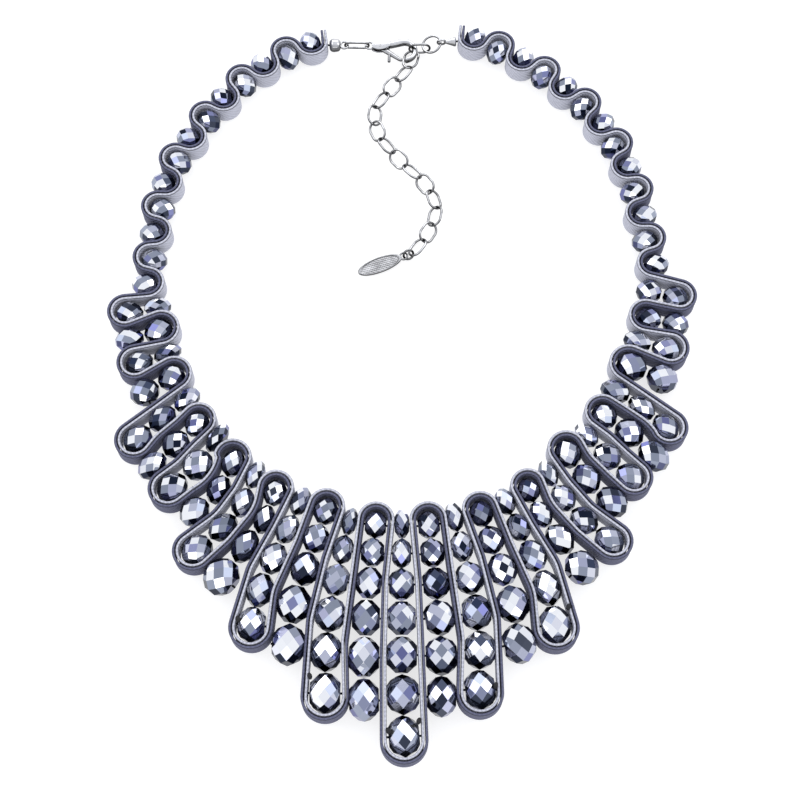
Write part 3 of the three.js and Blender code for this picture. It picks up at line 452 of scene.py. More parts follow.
def column_line(fold):
    """The line of a column from the bead in the closed end, through its bend, to the one in the
    mouth."""
    closed, mouth = place(fold[0:2]), place(fold[2:4])
    at, aside = fold[6:8]
    along = mouth - closed
    left = np.array([-along[1], along[0]]) / np.linalg.norm(along)
    return curve_through([closed, closed + at * along + aside * NECKLACE_WIDTH * left, mouth])


def size_along(fold, share):
    """Size of a column's bead over the closed end's, at a share of the way to the mouth."""
    return 1 + (fold[5] - 1) * smoothstep(share, 0, 1)


def column_places(fold):
    """Middles, diameters and hole headings of a column's beads: neighbours touch, and the holes
    run across the column's line."""
    line, along = column_line(fold)
    sizes = size_along(fold, np.linspace(0, 1, fold[4]))
    places = np.concatenate([[0], np.cumsum((sizes[1:] + sizes[:-1]) / 2)])
    distances = places / places[-1] * along[-1]
    middles = at_distance(line, along, distances)
    headings = headings_at(line, along, distances) + math.pi / 2
    return middles, sizes * along[-1] / places[-1], headings


def fold_turn(fold):
    """The braid's turn round the bead in a fold's closed end: its middle and radius."""
    middles, diameters, headings = column_places(fold)
    radius = BEAD_THICKNESS_SHARE * diameters[0] / 2 + BED_WIDTH
    towards_turn = left_of(headings[0])
    return (*(middles[0] + (diameters[0] / 2 + BED_WIDTH - radius) * towards_turn), radius)


def pass_points(fold, following):
    """Points that the pass between two folds bends at, midway between the sides of their beads."""
    if min(fold[4], following[4]) < FEWEST_BEADS_TO_BEND:
        return []
    points = []
    for share in BEND_SHARES:
        ends = []
        for column, part in ((fold, share), (following, 1 - share)):
            line, along = column_line(column)
            middle = at_distance(line, along, part * along[-1])
            ends.append((middle, size_along(column, part) * column_places(column)[1][0]))
        (middle, size), (far_middle, far_size) = ends
        points.append(middle + (far_middle - middle) * size / (size + far_size))
    return points


def heading_between(turn, following):
    """Heading of the straight line from one turn (x, y, radius, side) to the next, each touched
    on its own side: that of the line between the middles, plus the angle whose sine is the
    difference of the signed radii over the distance."""
    x, y = following[0] - turn[0], following[1] - turn[1]
    reach = (turn[3] * turn[2] - following[3] * following[2]) / math.hypot(x, y)
    return math.atan2(y, x) + math.asin(max(-0.999, min(0.999, reach)))


def bend_pass(turn, points, following):
    """Wide turns at the points where a pass bends: each touches the line at its point, on the
    side that the line bends to."""
    stops = [turn, *[(*point, 0.0, 0.0) for point in points], following]
    headings = [heading_between(a, b) for a, b in zip(stops[:-1], stops[1:])]
    bends = []
    for point, before, after in zip(points, headings[:-1], headings[1:]):
        swing = (after - before + math.pi) % (2 * math.pi) - math.pi
        side = math.copysign(1, swing)
        middle = point + side * BEND_RADIUS * left_of(before + swing / 2)
        bends.append((*middle, BEND_RADIUS, side))
    return bends


def all_turns():
    """The braid's turns from the left end to the right, as (x, y, radius, side): the turns round
    beads bend the other way each time, and the passes between them bend a little."""
    round_beads = [*LEFT_NECK[2], *[fold_turn(fold) for fold in FOLDS], *RIGHT_NECK[2][::-1]]
    round_beads = [(*turn, -1 if k % 2 == 0 else 1) for k, turn in enumerate(round_beads)]
    turns = []
    for k, turn in enumerate(round_beads):
        turns.append(turn)
        fold = k - NECK_BEADS_A_SIDE
        if 0 <= fold < len(FOLDS) - 1:
            points = pass_points(FOLDS[fold], FOLDS[fold + 1])
            turns += bend_pass(turn, points, round_beads[k + 1])
    return turns


def braid_line(turns, step):
    """The braid's middle line from the left neck end to the right one: round arcs joined by the
    straight lines that touch them. Returns points, headings and distances at even steps."""
    middles, radii, sides = np.array(turns)[:, :2], np.array(turns)[:, 2], np.array(turns)[:, 3]
    crossings = [heading_between(a, b) for a, b in zip(turns[:-1], turns[1:])]
    first, last = BRAID_END_LEAN - math.pi / 2, math.pi / 2 - BRAID_END_LEAN
    heads = np.array([first, *crossings, last])
    swings = np.mod(sides * np.diff(heads) + SPARE_SWING, 2 * math.pi) - SPARE_SWING
    swings *= sides
    starts = first + np.concatenate([[0], np.cumsum(swings)[:-1]])
    share = np.linspace(0, 1, POINTS_A_TURN)
    headings = starts[:, None] + swings[:, None] * share
    arcs = middles[:, None] - (sides * radii)[:, None, None] * left_of(headings)
    line, heading = arcs.reshape(-1, 2), headings.reshape(-1)
    start = line[0] - BRAID_END_LENGTH * unit(heading[0])
    end = line[-1] + BRAID_END_LENGTH * unit(heading[-1])
    line = np.vstack([start, line, end])
    heading = np.concatenate([heading[:1], heading, heading[-1:]])
    along = distances_along(line)
    distance = np.linspace(0, along[-1], int(along[-1] / step) + 1)
    return at_distance(line, along, distance), np.interp(distance, along, heading), distance


LEFT_NECK = neck_string(row_point(0), LEFT_NECK_LINE, 1)
RIGHT_NECK = neck_string(row_point(ROW["length"]), RIGHT_NECK_LINE, -1)
TURNS = all_turns()


# Meshes


def grid_faces(rows, columns, close_rows=False):
    """Quads of a grid of points whose rows are closed and run one after another, each quad's
    corners in the order (i, j), (i+1, j), (i+1, j+1), (i, j+1). Also gives each corner's
    unwrapped (i, j)."""
    i = np.arange(rows if close_rows else rows - 1)
    i, j = np.meshgrid(i, np.arange(columns), indexing="ij")
    corner_i = np.stack([i, i + 1, i + 1, i], -1).reshape(-1, 4)
    corner_j = np.stack([j, j, j + 1, j + 1], -1).reshape(-1, 4)
    quads = (corner_i % rows) * columns + corner_j % columns
    return quads, corner_i, corner_j


def cap_faces(rows, columns):
    """The faces that close the first and the last row of a grid."""
    return [list(range(columns)), [(rows - 1) * columns + k for k in range(columns)][::-1]]


def add_object(name, data):
    """An object with its mesh, lamp or camera, linked to the scene."""
    made = bpy.data.objects.new(name, data)
    bpy.context.scene.collection.objects.link(made)
    return made


def new_piece(name, points, faces, material, replaces, body="necklace", smooth=True):
    """A mesh object from an array of points and a list of faces, riding on a body."""
    mesh = bpy.data.meshes.new(name)
    mesh.from_pydata(np.asarray(points, float).tolist(), [], faces)
    mesh.polygons.foreach_set("use_smooth", np.full(len(mesh.polygons), smooth))
    mesh.materials.append(material)
    mesh.update()
    piece = add_object(name, mesh)
    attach(piece, body)
    if replaces:
        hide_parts(*replaces)
    return piece


class Shell:
    """Points and faces gathered from several closed surfaces, to make one piece."""

    def __init__(self):
        self.points, self.faces, self.count = [], [], 0

    def add(self, points, faces):
        """Adds points and the faces between them, which count from the first of the points."""
        points = np.asarray(points, float).reshape(-1, 3)
        self.faces += [[int(k) + self.count for k in face] for face in faces]
        self.points.append(points)
        self.count += len(points)

    def add_ring(self, grid):
        """Adds a grid of points (rows, columns, 3) whose last row joins its first."""
        self.add(grid, grid_faces(*grid.shape[:2], True)[0].tolist())

    def add_rod(self, grid):
        """Adds a grid of points (rows, columns, 3) with a face over its first and last rows."""
        self.add(grid, grid_faces(*grid.shape[:2])[0].tolist() + cap_faces(*grid.shape[:2]))

    def piece(self, name, material, replaces, slot, body="necklace"):
        """Makes the piece; on plated ones the mesh keeps how far each point's normal faces up,
        its z from -1 to 1, for the plating's painted reflection."""
        points = np.vstack(self.points)
        points[:, :2] += ORIGIN_STEP
        made = new_piece(name, points, self.faces, material, replaces, body)
        if slot == "silver":
            normals = np.empty(len(made.data.vertices) * 3)
            made.data.vertices.foreach_get("normal", normals)
            facing = made.data.attributes.new("facing_up", "FLOAT", "POINT")
            facing.data.foreach_set("value", normals[2::3])


def turned(points, tilt=0.0, slope=0.0, heading=0.0, middle=(0, 0, 0)):
    """Points turned about X by the tilt, then up from X by the slope, then about Z by the
    heading, and moved to the middle."""
    ct, st, cs, ss = math.cos(tilt), math.sin(tilt), math.cos(slope), math.sin(slope)
    ch, sh = math.cos(heading), math.sin(heading)
    about_x = np.array([[1, 0, 0], [0, ct, -st], [0, st, ct]])
    up_from_x = np.array([[cs, 0, -ss], [0, 1, 0], [ss, 0, cs]])
    about_z = np.array([[ch, -sh, 0], [sh, ch, 0], [0, 0, 1]])
    return points @ (about_z @ up_from_x @ about_x).T + np.asarray(middle, float)


def wire_loop(length, width, wire=WIRE_DIAMETER, around=44, section=12):
    """A closed oval wire as a grid (around, section): a half circle at each end joined by
    straights, and at each place a circle of the wire's radius about it."""
    end_radius, stretch = (width - wire) / 2, (length - width) / 2
    u = 2 * math.pi * (np.arange(around) + 0.5) / around
    v = 2 * math.pi * np.arange(section) / section
    u, v = np.meshgrid(u, v, indexing="ij")
    reach = end_radius + wire / 2 * np.cos(v)
    x = reach * np.cos(u) + stretch * np.sign(np.cos(u))
    return np.stack([x, reach * np.sin(u), wire / 2 * np.sin(v)], -1)


def lathe(profile, around=40):
    """A closed surface of revolution about X from (along, radius) points: each goes round X as
    (x, r cos a, r sin a)."""
    profile = np.asarray(profile, float)
    a = -2 * math.pi * np.arange(around) / around
    x = np.repeat(profile[:, :1], around, 1)
    return np.stack([x, np.outer(profile[:, 1], np.cos(a)), np.outer(profile[:, 1], np.sin(a))], -1)


def superellipse(angles, power):
    """Points (a, b) with |a|^n + |b|^n = 1: the cosine and the sine of the angles, each to the
    power 2 / n with its sign kept."""
    c, s = np.cos(angles), np.sin(angles)
    return np.sign(c) * np.abs(c) ** (2 / power), np.sign(s) * np.abs(s) ** (2 / power)


def swept(line, widths, heights, section=16):
    """A bar of rounded section along a line in plan: at each point the section is the
    superellipse |a|^n + |b|^n = 1 of its half width across and half height up."""
    line = np.asarray(line, float)
    ahead = np.gradient(line, axis=0)
    left = left_of(np.arctan2(ahead[:, 1], ahead[:, 0]))
    across, up = superellipse(-2 * math.pi * (np.arange(section) + 0.5) / section, BAR_POWER)
    plan = line[:, None] + left[:, None] * (np.asarray(widths)[:, None] * across)[..., None]
    z = np.asarray(heights)[:, None] * up
    return np.concatenate([plan, z[..., None]], -1)


# Materials


class Nodes:
    """Adds nodes to a material: each call names the type, its settings and its inputs."""

    def __init__(self, name):
        self.material = bpy.data.materials.new(name)
        self.material.use_nodes = True
        self.tree = self.material.node_tree
        self.surface = self.tree.nodes["Principled BSDF"]

    def add(self, kind, inputs=(), **settings):
        """A shader node with its settings and inputs."""
        made = self.tree.nodes.new("ShaderNode" + kind)
        for key, value in settings.items():
            setattr(made, key, value)
        for key, value in dict(inputs).items():
            self.link(value, made.inputs[key])
        return made

    def link(self, value, socket):
        """Gives an input a value, or the output of another node."""
        if isinstance(value, bpy.types.NodeSocket):
            self.tree.links.new(value, socket)
        else:
            socket.default_value = value

    def math(self, operation, a, b=0.0):
        """The sum, product or the like of two values."""
        return self.add("Math", {0: a, 1: b}, operation=operation).outputs[0]

    def mix(self, factor, a, b):
        """The colour a where the factor is 0, b where it is 1, and their blend between."""
        made = self.add("Mix", data_type="RGBA")
        self.link(factor, made.inputs["Factor"])
        self.link(a, made.inputs[6])
        self.link(b, made.inputs[7])
        return made.outputs[2]

    def ramp(self, value, stops):
        """A scale of colours, given as pairs of a position from 0 to 1 and the colour there."""
        scale = self.add("ValToRGB", {0: value})
        elements = scale.color_ramp.elements
        while len(elements) < len(stops):
            elements.new(0.5)
        for element, (position, colour) in zip(elements, stops):
            element.position = position
            element.color = (*colour[:3], 1.0)
        return scale.outputs["Color"]

    def noise(self, vector, scale, detail=3.0, roughness=0.5):
        """Fractal noise from 0 to 1."""
        inputs = {"Vector": vector, "Scale": scale, "Detail": detail, "Roughness": roughness}
        return self.add("TexNoise", inputs).outputs["Fac"]

    def bump(self, height, distance, strength=1.0, normal=None):
        """A normal leant by the slope of a height, on top of another normal if one is given."""
        made = self.add("Bump", {"Height": height, "Distance": distance, "Strength": strength})
        if normal is not None:
            self.link(normal, made.inputs["Normal"])
        return made.outputs["Normal"]

    def set(self, **values):
        """Sets inputs of the surface shader."""
        for key, value in values.items():
            self.link(value, self.surface.inputs[key.replace("_", " ")])


def shade(colour, factor):
    """A colour with its three channels times a factor."""
    return (*[min(1.0, c * factor) for c in colour[:3]], 1.0)


def braid_material(name, colour, pitch, half_top):
    """Woven braid: slanting ribs that meet along the middle of its top edge, worked out from the
    distance along and around the braid. The sides and the foot are painted darker than the top as
    painted shade, a dark line along each edge of the top is painted shade, and spun fibre mottles the
    whole."""
    nodes = Nodes(name)
    uv = nodes.add("UVMap", uv_map="along_around").outputs[0]
    split = nodes.add("SeparateXYZ", {0: uv})
    along, around = split.outputs[0], nodes.math("ABSOLUTE", split.outputs[1])
    slant = nodes.math("MULTIPLY", around, 0.8)
    phase = nodes.math("MULTIPLY", nodes.math("ADD", along, slant), 2 * math.pi / pitch)
    rib = nodes.math("MULTIPLY", nodes.math("ADD", nodes.math("SINE", phase), 1.0), 0.5)
    where = nodes.add("TexCoord").outputs["Object"]
    fibre = nodes.noise(where, 5200.0, 4.0, 0.7)
    mottle = nodes.noise(where, 260.0, 3.0, 0.6)
    blotch = nodes.math("ADD", nodes.math("MULTIPLY", mottle, 0.4), nodes.math("MULTIPLY", fibre, 0.6))
    base = nodes.mix(blotch, shade(colour, 0.45), shade(colour, 1.5))
    # Painted shade: below the top's edges the sides and the foot are darkened towards half the colour
    wall = nodes.add("MapRange", {0: around, 1: half_top, 2: half_top + 0.6 * MM}).outputs[0]
    shaded_sides = nodes.mix(nodes.math("MULTIPLY", wall, 0.36), base, shade(colour, 0.5))
    ribbed = nodes.mix(nodes.math("MULTIPLY", rib, 0.34), shaded_sides, shade(colour, 0.42))
    # A soft dark line along the shoulder between the top and the side: painted shade where the edge
    # rounds away from the light
    off = nodes.math("ABSOLUTE", nodes.math("SUBTRACT", around, half_top))
    near = nodes.add("MapRange", {0: off, 1: 0.06 * MM, 2: 0.3 * MM, 3: 0.95, 4: 0.0}).outputs[0]
    shaded_edges = nodes.mix(near, ribbed, shade(colour, 0.08))
    nodes.set(Base_Color=shaded_edges, Roughness=0.8)
    nodes.set(Sheen_Weight=0.2, Sheen_Roughness=0.4, Sheen_Tint=shade(colour, 1.3))
    fine = nodes.bump(fibre, 0.06 * MM, 0.5)
    nodes.set(Normal=nodes.bump(rib, 0.14 * MM, 0.8, fine))
    return nodes.material


def crystal_material(name, tones, violet):
    """Metal-coated facets: each facet's own tone, kept on the mesh, picks the coating's colour
    on a scale from near black through greys to silver, and its cast adds violet to that. The tone
    is partly the coating's random variation and partly painted reflection and painted shade by the
    facet's slope."""
    nodes = Nodes(name)
    tone = nodes.add("Attribute", attribute_name="facet_tone").outputs["Fac"]
    cast = nodes.add("Attribute", attribute_name="facet_cast").outputs["Fac"]
    tinted = nodes.mix(cast, nodes.ramp(tone, tones), (*violet, 1.0))
    where = nodes.add("TexCoord").outputs["Object"]
    haze = nodes.noise(where, 900.0, 2.0)
    rough = nodes.math("ADD", nodes.math("MULTIPLY", haze, 0.06), 0.03)
    nodes.set(Base_Color=tinted, Metallic=1.0, Roughness=rough)
    return nodes.material


def silver_material(name, colour, tones, uneven=0.36):
    """Bright plating. Its colour follows how far the surface faces up, which is kept on the mesh:
    dark where it faces down or aside and bright on top, a painted reflection of a dim room. The
    tones are pairs of how far it faces up and the share of the colour there. A soft unevenness
    shifts them a little, and rub marks dull the gloss."""
    nodes = Nodes(name)
    facing = nodes.add("Attribute", attribute_name="facing_up").outputs["Fac"]
    where = nodes.add("TexCoord").outputs["Object"]
    broad = nodes.noise(where, 520.0, 2.0)
    shift = nodes.math("MULTIPLY", nodes.math("SUBTRACT", broad, 0.45), uneven)
    stops = [(position, shade(colour, tone)) for position, tone in tones]
    plated = nodes.ramp(nodes.math("ADD", facing, shift), stops)
    rub = nodes.noise(where, 1400.0, 5.0, 0.7)
    rough = nodes.math("ADD", nodes.math("MULTIPLY", rub, 0.16), 0.08)
    nodes.set(Base_Color=plated, Metallic=1.0, Roughness=rough)
    return nodes.material


def thread_material(name, colour):
    """Spun sewing thread: dark, matt, with a short twist from fine noise."""
    nodes = Nodes(name)
    where = nodes.add("TexCoord").outputs["Object"]
    twist = nodes.noise(where, 4000.0, 3.0)
    nodes.set(Base_Color=nodes.mix(twist, shade(colour, 0.6), shade(colour, 1.6)), Roughness=0.7)
    nodes.set(Normal=nodes.bump(twist, 0.05 * MM, 0.6))
    return nodes.material


def paper_material(name, colour, glow):
    """The stage: plain pale paper with a grain too fine to see, lit through from below."""
    nodes = Nodes(name)
    where = nodes.add("TexCoord").outputs["Object"]
    grain = nodes.noise(where, 500.0)
    nodes.set(Base_Color=nodes.mix(grain, shade(colour, 0.985), (*colour[:3], 1.0)), Roughness=0.9)
    nodes.set(Emission_Color=(1, 1, 1, 1), Emission_Strength=glow)
    return nodes.material


# Settings


def length_property(name, description, default):
    """A length in metres."""
    return FloatProperty(
        name=name, description=description, default=default, precision=5, unit="LENGTH"
    )


def colour_property(name, description, default):
    """A colour as its red, green and blue from 0 to 1."""
    return FloatVectorProperty(
        name=name, description=description, default=default, size=3, min=0, max=1, subtype="COLOR"
    )


class BraidSettings(bpy.types.PropertyGroup):
    """Sizes and colours of the braid."""

    step: length_property("Step", "Distance between two sections of the braid", 0.55 * MM)
    edge_radius: length_property("Edge Radius", "Rounding of the ply's edges", 0.36 * MM)
    waist: length_property("Waist", "Depth of the groove along the ply's side", 0.07 * MM)
    pitch: length_property("Rib Pitch", "Distance between two ribs of the weave", 1.1 * MM)
    pale: colour_property("Pale Ply", "Colour of the pale ply", (0.57, 0.58, 0.68))
    dark: colour_property("Dark Ply", "Colour of the dark ply", (0.11, 0.115, 0.19))


class BeadSettings(bpy.types.PropertyGroup):
    """Cut and coating of the beads."""

    sides: IntProperty(name="Sides", description="Facets round the bead", default=8, min=8)
    near: FloatProperty(
        name="First Ring", description="Distance of the first corners, of thickness", default=0.2
    )
    far: FloatProperty(
        name="Second Ring", description="Distance of the next corners, of thickness", default=0.38
    )
    # Colours of the facets' scale: which one a facet shows is painted reflection and painted shade by
    # its slope, with some random coating variation
    silver: colour_property("Bright Facets", "Coating where it is brightest", (0.97, 0.98, 1.0))
    lilac: colour_property("Lilac Facets", "Coating of the paler greys", (0.52, 0.54, 0.66))
    grey: colour_property("Grey Facets", "Coating of the middle greys", (0.27, 0.3, 0.38))
    navy: colour_property("Navy Facets", "Coating where it is darkest", (0.012, 0.017, 0.036))
    violet: colour_property("Violet Facets", "Cast of a few facets", (0.2, 0.21, 0.46))
    thread: colour_property("Thread", "Sewing thread", (0.004, 0.004, 0.006))


class FittingSettings(bpy.types.PropertyGroup):
    """Colour of the metal fittings."""

    silver: colour_property("Plating", "Colour of the fittings", (0.82, 0.82, 0.84))


class StageSettings(bpy.types.PropertyGroup):
    """Camera, lights and floor."""

    distance: length_property("Camera Distance", "From the camera to the ground", 430 * MM)
    tilt: FloatProperty(
        name="Camera Tilt",
        description="Angle of the view from straight down",
        default=math.radians(20.5),
        subtype="ANGLE",
    )
    view_width: length_property("View Width", "Width that the photo shows", 212 * MM)
    floor: colour_property("Floor", "Colour of the floor", (0.36, 0.36, 0.365))
    glow: FloatProperty(name="Glow", description="Light through the floor", default=0.74, min=0)


def settings():
    """The necklace's settings in this scene."""
    return bpy.context.scene.bib_necklace


# Braid


def ply_section(inner, outer, height, edge_radius, waist):
    """A ply's outline, from the middle of its top edge round: a rectangle between the two
    offsets with quarter-round edges and a shallow groove half way down each side, whose depth is
    waist times exp(-(z / width)^2). Returns (offset, height) points and the distance round to
    each, 0 at the top's middle."""
    middle, half = (inner + outer) / 2, (outer - inner) / 2
    radius = min(edge_radius, FULLEST_EDGE * half)
    a = np.radians(PLY_EDGE_ANGLES)
    top = np.array([half, height / 2]) - radius + radius * unit(a)
    z = height * np.array(PLY_SIDE_HEIGHTS)
    side = np.stack([half - waist * np.exp(-((z / (PLY_GROOVE_WIDTH * height)) ** 2)), z], -1)
    right = np.vstack([top, side, top[::-1] * (1, -1)])
    start = np.array([[0, height / 2]])
    ring = np.vstack([start, right, start * (1, -1), (right * (-1, 1))[::-1]])
    around = distances_along(np.vstack([ring, ring[:1]]))
    around = np.where(around > around[-1] / 2, around - around[-1], around)
    ring[:, 0] += middle
    return ring, around


def make_ply(name, inner, outer, node, material):
    """A ply carried along the braid's line: each section point (o, z) goes to the line's point
    plus o to the left of its heading, at the middle height plus z and a slow wave."""
    sizes = settings().braid
    line, heading, distance = braid_line(TURNS, sizes.step)
    section, around = ply_section(inner, outer, BRAID_HEIGHT, sizes.edge_radius, sizes.waist)
    wave = WAVE_HEIGHT * np.sin(distance / WAVE_LENGTHS[0]) * np.sin(distance / WAVE_LENGTHS[1])
    plan = line[:, None] + left_of(heading)[:, None] * section[None, :, :1]
    z = middle_height(plan[..., 1]) + section[None, :, 1] + wave[:, None]
    grid = np.concatenate([plan + ORIGIN_STEP, z[..., None]], -1)
    rows, columns = grid.shape[:2]
    quads, corner_i, corner_j = grid_faces(rows, columns)
    faces = quads.tolist() + cap_faces(rows, columns)
    piece = new_piece(name, grid.reshape(-1, 3), faces, material, [node])
    # Distance along and around, in metres, as the weave's coordinates; the column after the last
    # is the top's middle again, come to from the other side.
    second = np.where(corner_j == columns, 0.0, around[corner_j % columns])
    uv = np.stack([distance[corner_i], second], -1).reshape(-1, 2)
    caps = np.zeros((2 * columns, 2))
    layer = piece.data.uv_layers.new(name="along_around")
    layer.data.foreach_set("uv", np.vstack([uv, caps]).ravel())


class NECKLACE_OT_braid(bpy.types.Operator):
    """Makes the two plies of the braid that folds round the beads"""

    bl_idname = "necklace.braid"
    bl_label = "Make Braid"

    def execute(self, context):
        sizes = settings().braid
        shoulder = PLY_THICKNESS / 2 + SHOULDER_WIDTH
        pale = braid_material("pale_woven_braid", sizes.pale, sizes.pitch, shoulder)
        dark = braid_material("dark_woven_braid", sizes.dark, sizes.pitch, shoulder)
        edge = PLY_GAP / 2
        make_ply("pale_ply", edge, BRAID_HALF_WIDTH, "braid_light", pale)
        make_ply("dark_ply", -BRAID_HALF_WIDTH, -edge, "braid_dark", dark)
        return {"FINISHED"}


# Beads


def cut_bead(sides, near, far):
    """A rondelle of unit radius and unit thickness whose hole runs along X. Rings of corners
    stand at five distances along the hole, every other ring turned by half a side, and each
    ring's radius is the one at which the four-cornered facets between the rings are flat: the
    line through the middles of a facet's sides goes straight on to its far corner."""
    half_turn = math.pi / sides
    near_radius = math.cos(half_turn)
    fall = (1 - near_radius * math.cos(half_turn)) / near
    far_radius = 1 - fall * far
    side_radius = far_radius * math.cos(half_turn)
    end_radius = side_radius - (near_radius - side_radius) / (far - near) * (0.5 - far)
    a = 2 * half_turn * np.arange(sides)

    def ring(x, radius, shift):
        angle = a + shift * half_turn
        return np.stack([np.full(sides, x), radius * np.cos(angle), radius * np.sin(angle)], -1)

    points, faces = [ring(0, 1, 0)], []
    k = np.arange(sides)
    after = (k + 1) % sides
    before = (k - 1) % sides
    for side in (1, -1):
        first = len(points) * sides
        points.append(ring(side * near, near_radius, 1))
        points.append(ring(side * far, far_radius, 0))
        points.append(ring(side * 0.5, end_radius, 1))
        b, d, e = first, first + sides, first + 2 * sides
        made = [
            np.stack([k, b + k, d + k, b + before], -1).tolist(),
            np.stack([b + k, d + after, e + k, d + k], -1).tolist(),
            np.stack([d + k, e + k, e + before], -1).tolist(),
            [(e + k).tolist()],
        ]
        for group in made:
            faces += [face if side > 0 else face[::-1] for face in group]
    last = 4 * sides
    faces += np.stack([last + k, after, sides + k, k], -1).tolist()
    return np.vstack(points), faces


def room_beside(walls, middle, across, along, length, limit):
    """Distance from a bead's middle across to the nearest wall, over the bead's length."""
    offset = walls - middle
    sideways, lengthways = offset @ across, offset @ along
    beside = (sideways > 0) & (np.abs(lengthways) < WALL_SHARE * length / 2)
    return min(limit, sideways[beside].min(initial=limit))


def fitted_beads(walls, middles, diameters, headings):
    """Puts each bead midway between the passes of the braid beside it, as thick as they leave
    room for. Returns rows of x, y, height, diameter, thickness, heading."""
    rows = []
    for middle, diameter, heading in zip(middles, diameters, headings):
        across, along = unit(heading), left_of(heading)
        most = BEAD_THICKNESS_SHARE * diameter
        right = room_beside(walls, middle, across, along, diameter, 2 * most)
        left = room_beside(walls, middle, -across, along, diameter, 2 * most)
        thickness = min(most, right + left - BESIDE_BEAD)
        shift = np.clip(0, thickness / 2 - left, right - thickness / 2)
        x, y = middle + shift * across
        height = max(middle_height(y), diameter / 2 * math.cos(math.pi / SOLID_BEAD_SIDES))
        rows.append((x, y, height, diameter, thickness, heading))
    return rows


def all_beads():
    """Every bead as rows of x, y, height, diameter, thickness and heading: the neck's on each
    side, then the columns'."""
    line, heading, _ = braid_line(TURNS, WALL_STEP)
    left = left_of(heading)
    walls = np.vstack([line + BRAID_HALF_WIDTH * left, line - BRAID_HALF_WIDTH * left])
    groups = {}
    for name, (middles, headings, _) in (("left", LEFT_NECK), ("right", RIGHT_NECK)):
        diameters = np.full(len(middles), NECK_BEAD_DIAMETER)
        groups[name] = fitted_beads(walls, middles, diameters, headings)
    columns = []
    for fold in FOLDS:
        columns += fitted_beads(walls, *column_places(fold))
    groups["bib"] = columns
    return groups


def facet_tones(mesh, chance):
    """A tone for each facet, drawn by chance from the set of its slope: facets that face up are
    dark, grey or silver and those that slant are mostly bright, as painted reflection, and steep
    ones down the bead's sides are near black, as painted shade. The draw within a set stands for
    the coating's random variation."""
    normals = np.empty(len(mesh.polygons) * 3)
    mesh.polygons.foreach_get("normal", normals)
    up = normals[2::3]
    count = len(up)
    drawn = [chance.choice(tones, count, p=chances) for _, tones, chances in FACET_TONES]
    # The facet's slope picks the set: painted reflection and painted shade
    tone = np.select([up > least for least, _, _ in FACET_TONES], drawn, 0.0)
    return np.clip(tone + chance.normal(0, TONE_STRAY, count), 0, 1)


def make_beads(name, rows, nodes_replaced, material, seed):
    """One piece of many cut beads: each bead's corners are the unit cut scaled to its thickness
    and diameter, rolled about its hole, turned to its heading and moved to its place."""
    sizes = settings().beads
    unit_points, unit_faces = cut_bead(sizes.sides, sizes.near, sizes.far)
    chance = np.random.default_rng(seed)
    x, y, z, diameter, thickness, heading = np.array(rows).T
    z = np.maximum(z, diameter / 2)
    count = len(rows)
    roll = chance.uniform(0, 2 * math.pi / sizes.sides, count)
    heading = heading + chance.normal(0, BEAD_STRAY, count)
    px, py, pz = unit_points.T
    cr, sr = np.cos(roll)[:, None], np.sin(roll)[:, None]
    ry = (py * cr - pz * sr) * (diameter / 2)[:, None]
    rz = (py * sr + pz * cr) * (diameter / 2)[:, None]
    rx = px * thickness[:, None]
    ch, sh = np.cos(heading)[:, None], np.sin(heading)[:, None]
    points = np.stack([rx * ch - ry * sh, rx * sh + ry * ch, rz], -1)
    points += np.stack([x, y, z], -1)[:, None]
    points[..., :2] += ORIGIN_STEP
    faces = []
    for bead in range(count):
        first = bead * len(unit_points)
        faces += [[first + k for k in face] for face in unit_faces]
    points = points.reshape(-1, 3)
    piece = new_piece(name, points, faces, material, nodes_replaced, smooth=False)
    tones = facet_tones(piece.data, chance)
    casts = chance.choice(VIOLET_CASTS[0], len(tones), p=VIOLET_CASTS[1])
    for attribute, values in (("facet_tone", tones), ("facet_cast", casts)):
        layer = piece.data.attributes.new(attribute, "FLOAT", "FACE")
        layer.data.foreach_set("value", values)


def tube(points, radius, section=8):
    """A tube about a line in space: at each point a circle of the radius, square to the line."""
    points = np.asarray(points, float)
    ahead = np.gradient(points, axis=0)
    ahead /= np.linalg.norm(ahead, axis=1)[:, None]
    across = np.cross(ahead, (0, 0, 1))
    across /= np.linalg.norm(across, axis=1)[:, None]
    up = np.cross(across, ahead)
    v = 2 * math.pi * np.arange(section) / section
    ring = across[:, None] * np.cos(v)[:, None] + up[:, None] * np.sin(v)[:, None]
    return points[:, None] + np.broadcast_to(radius, len(points))[:, None, None] * ring


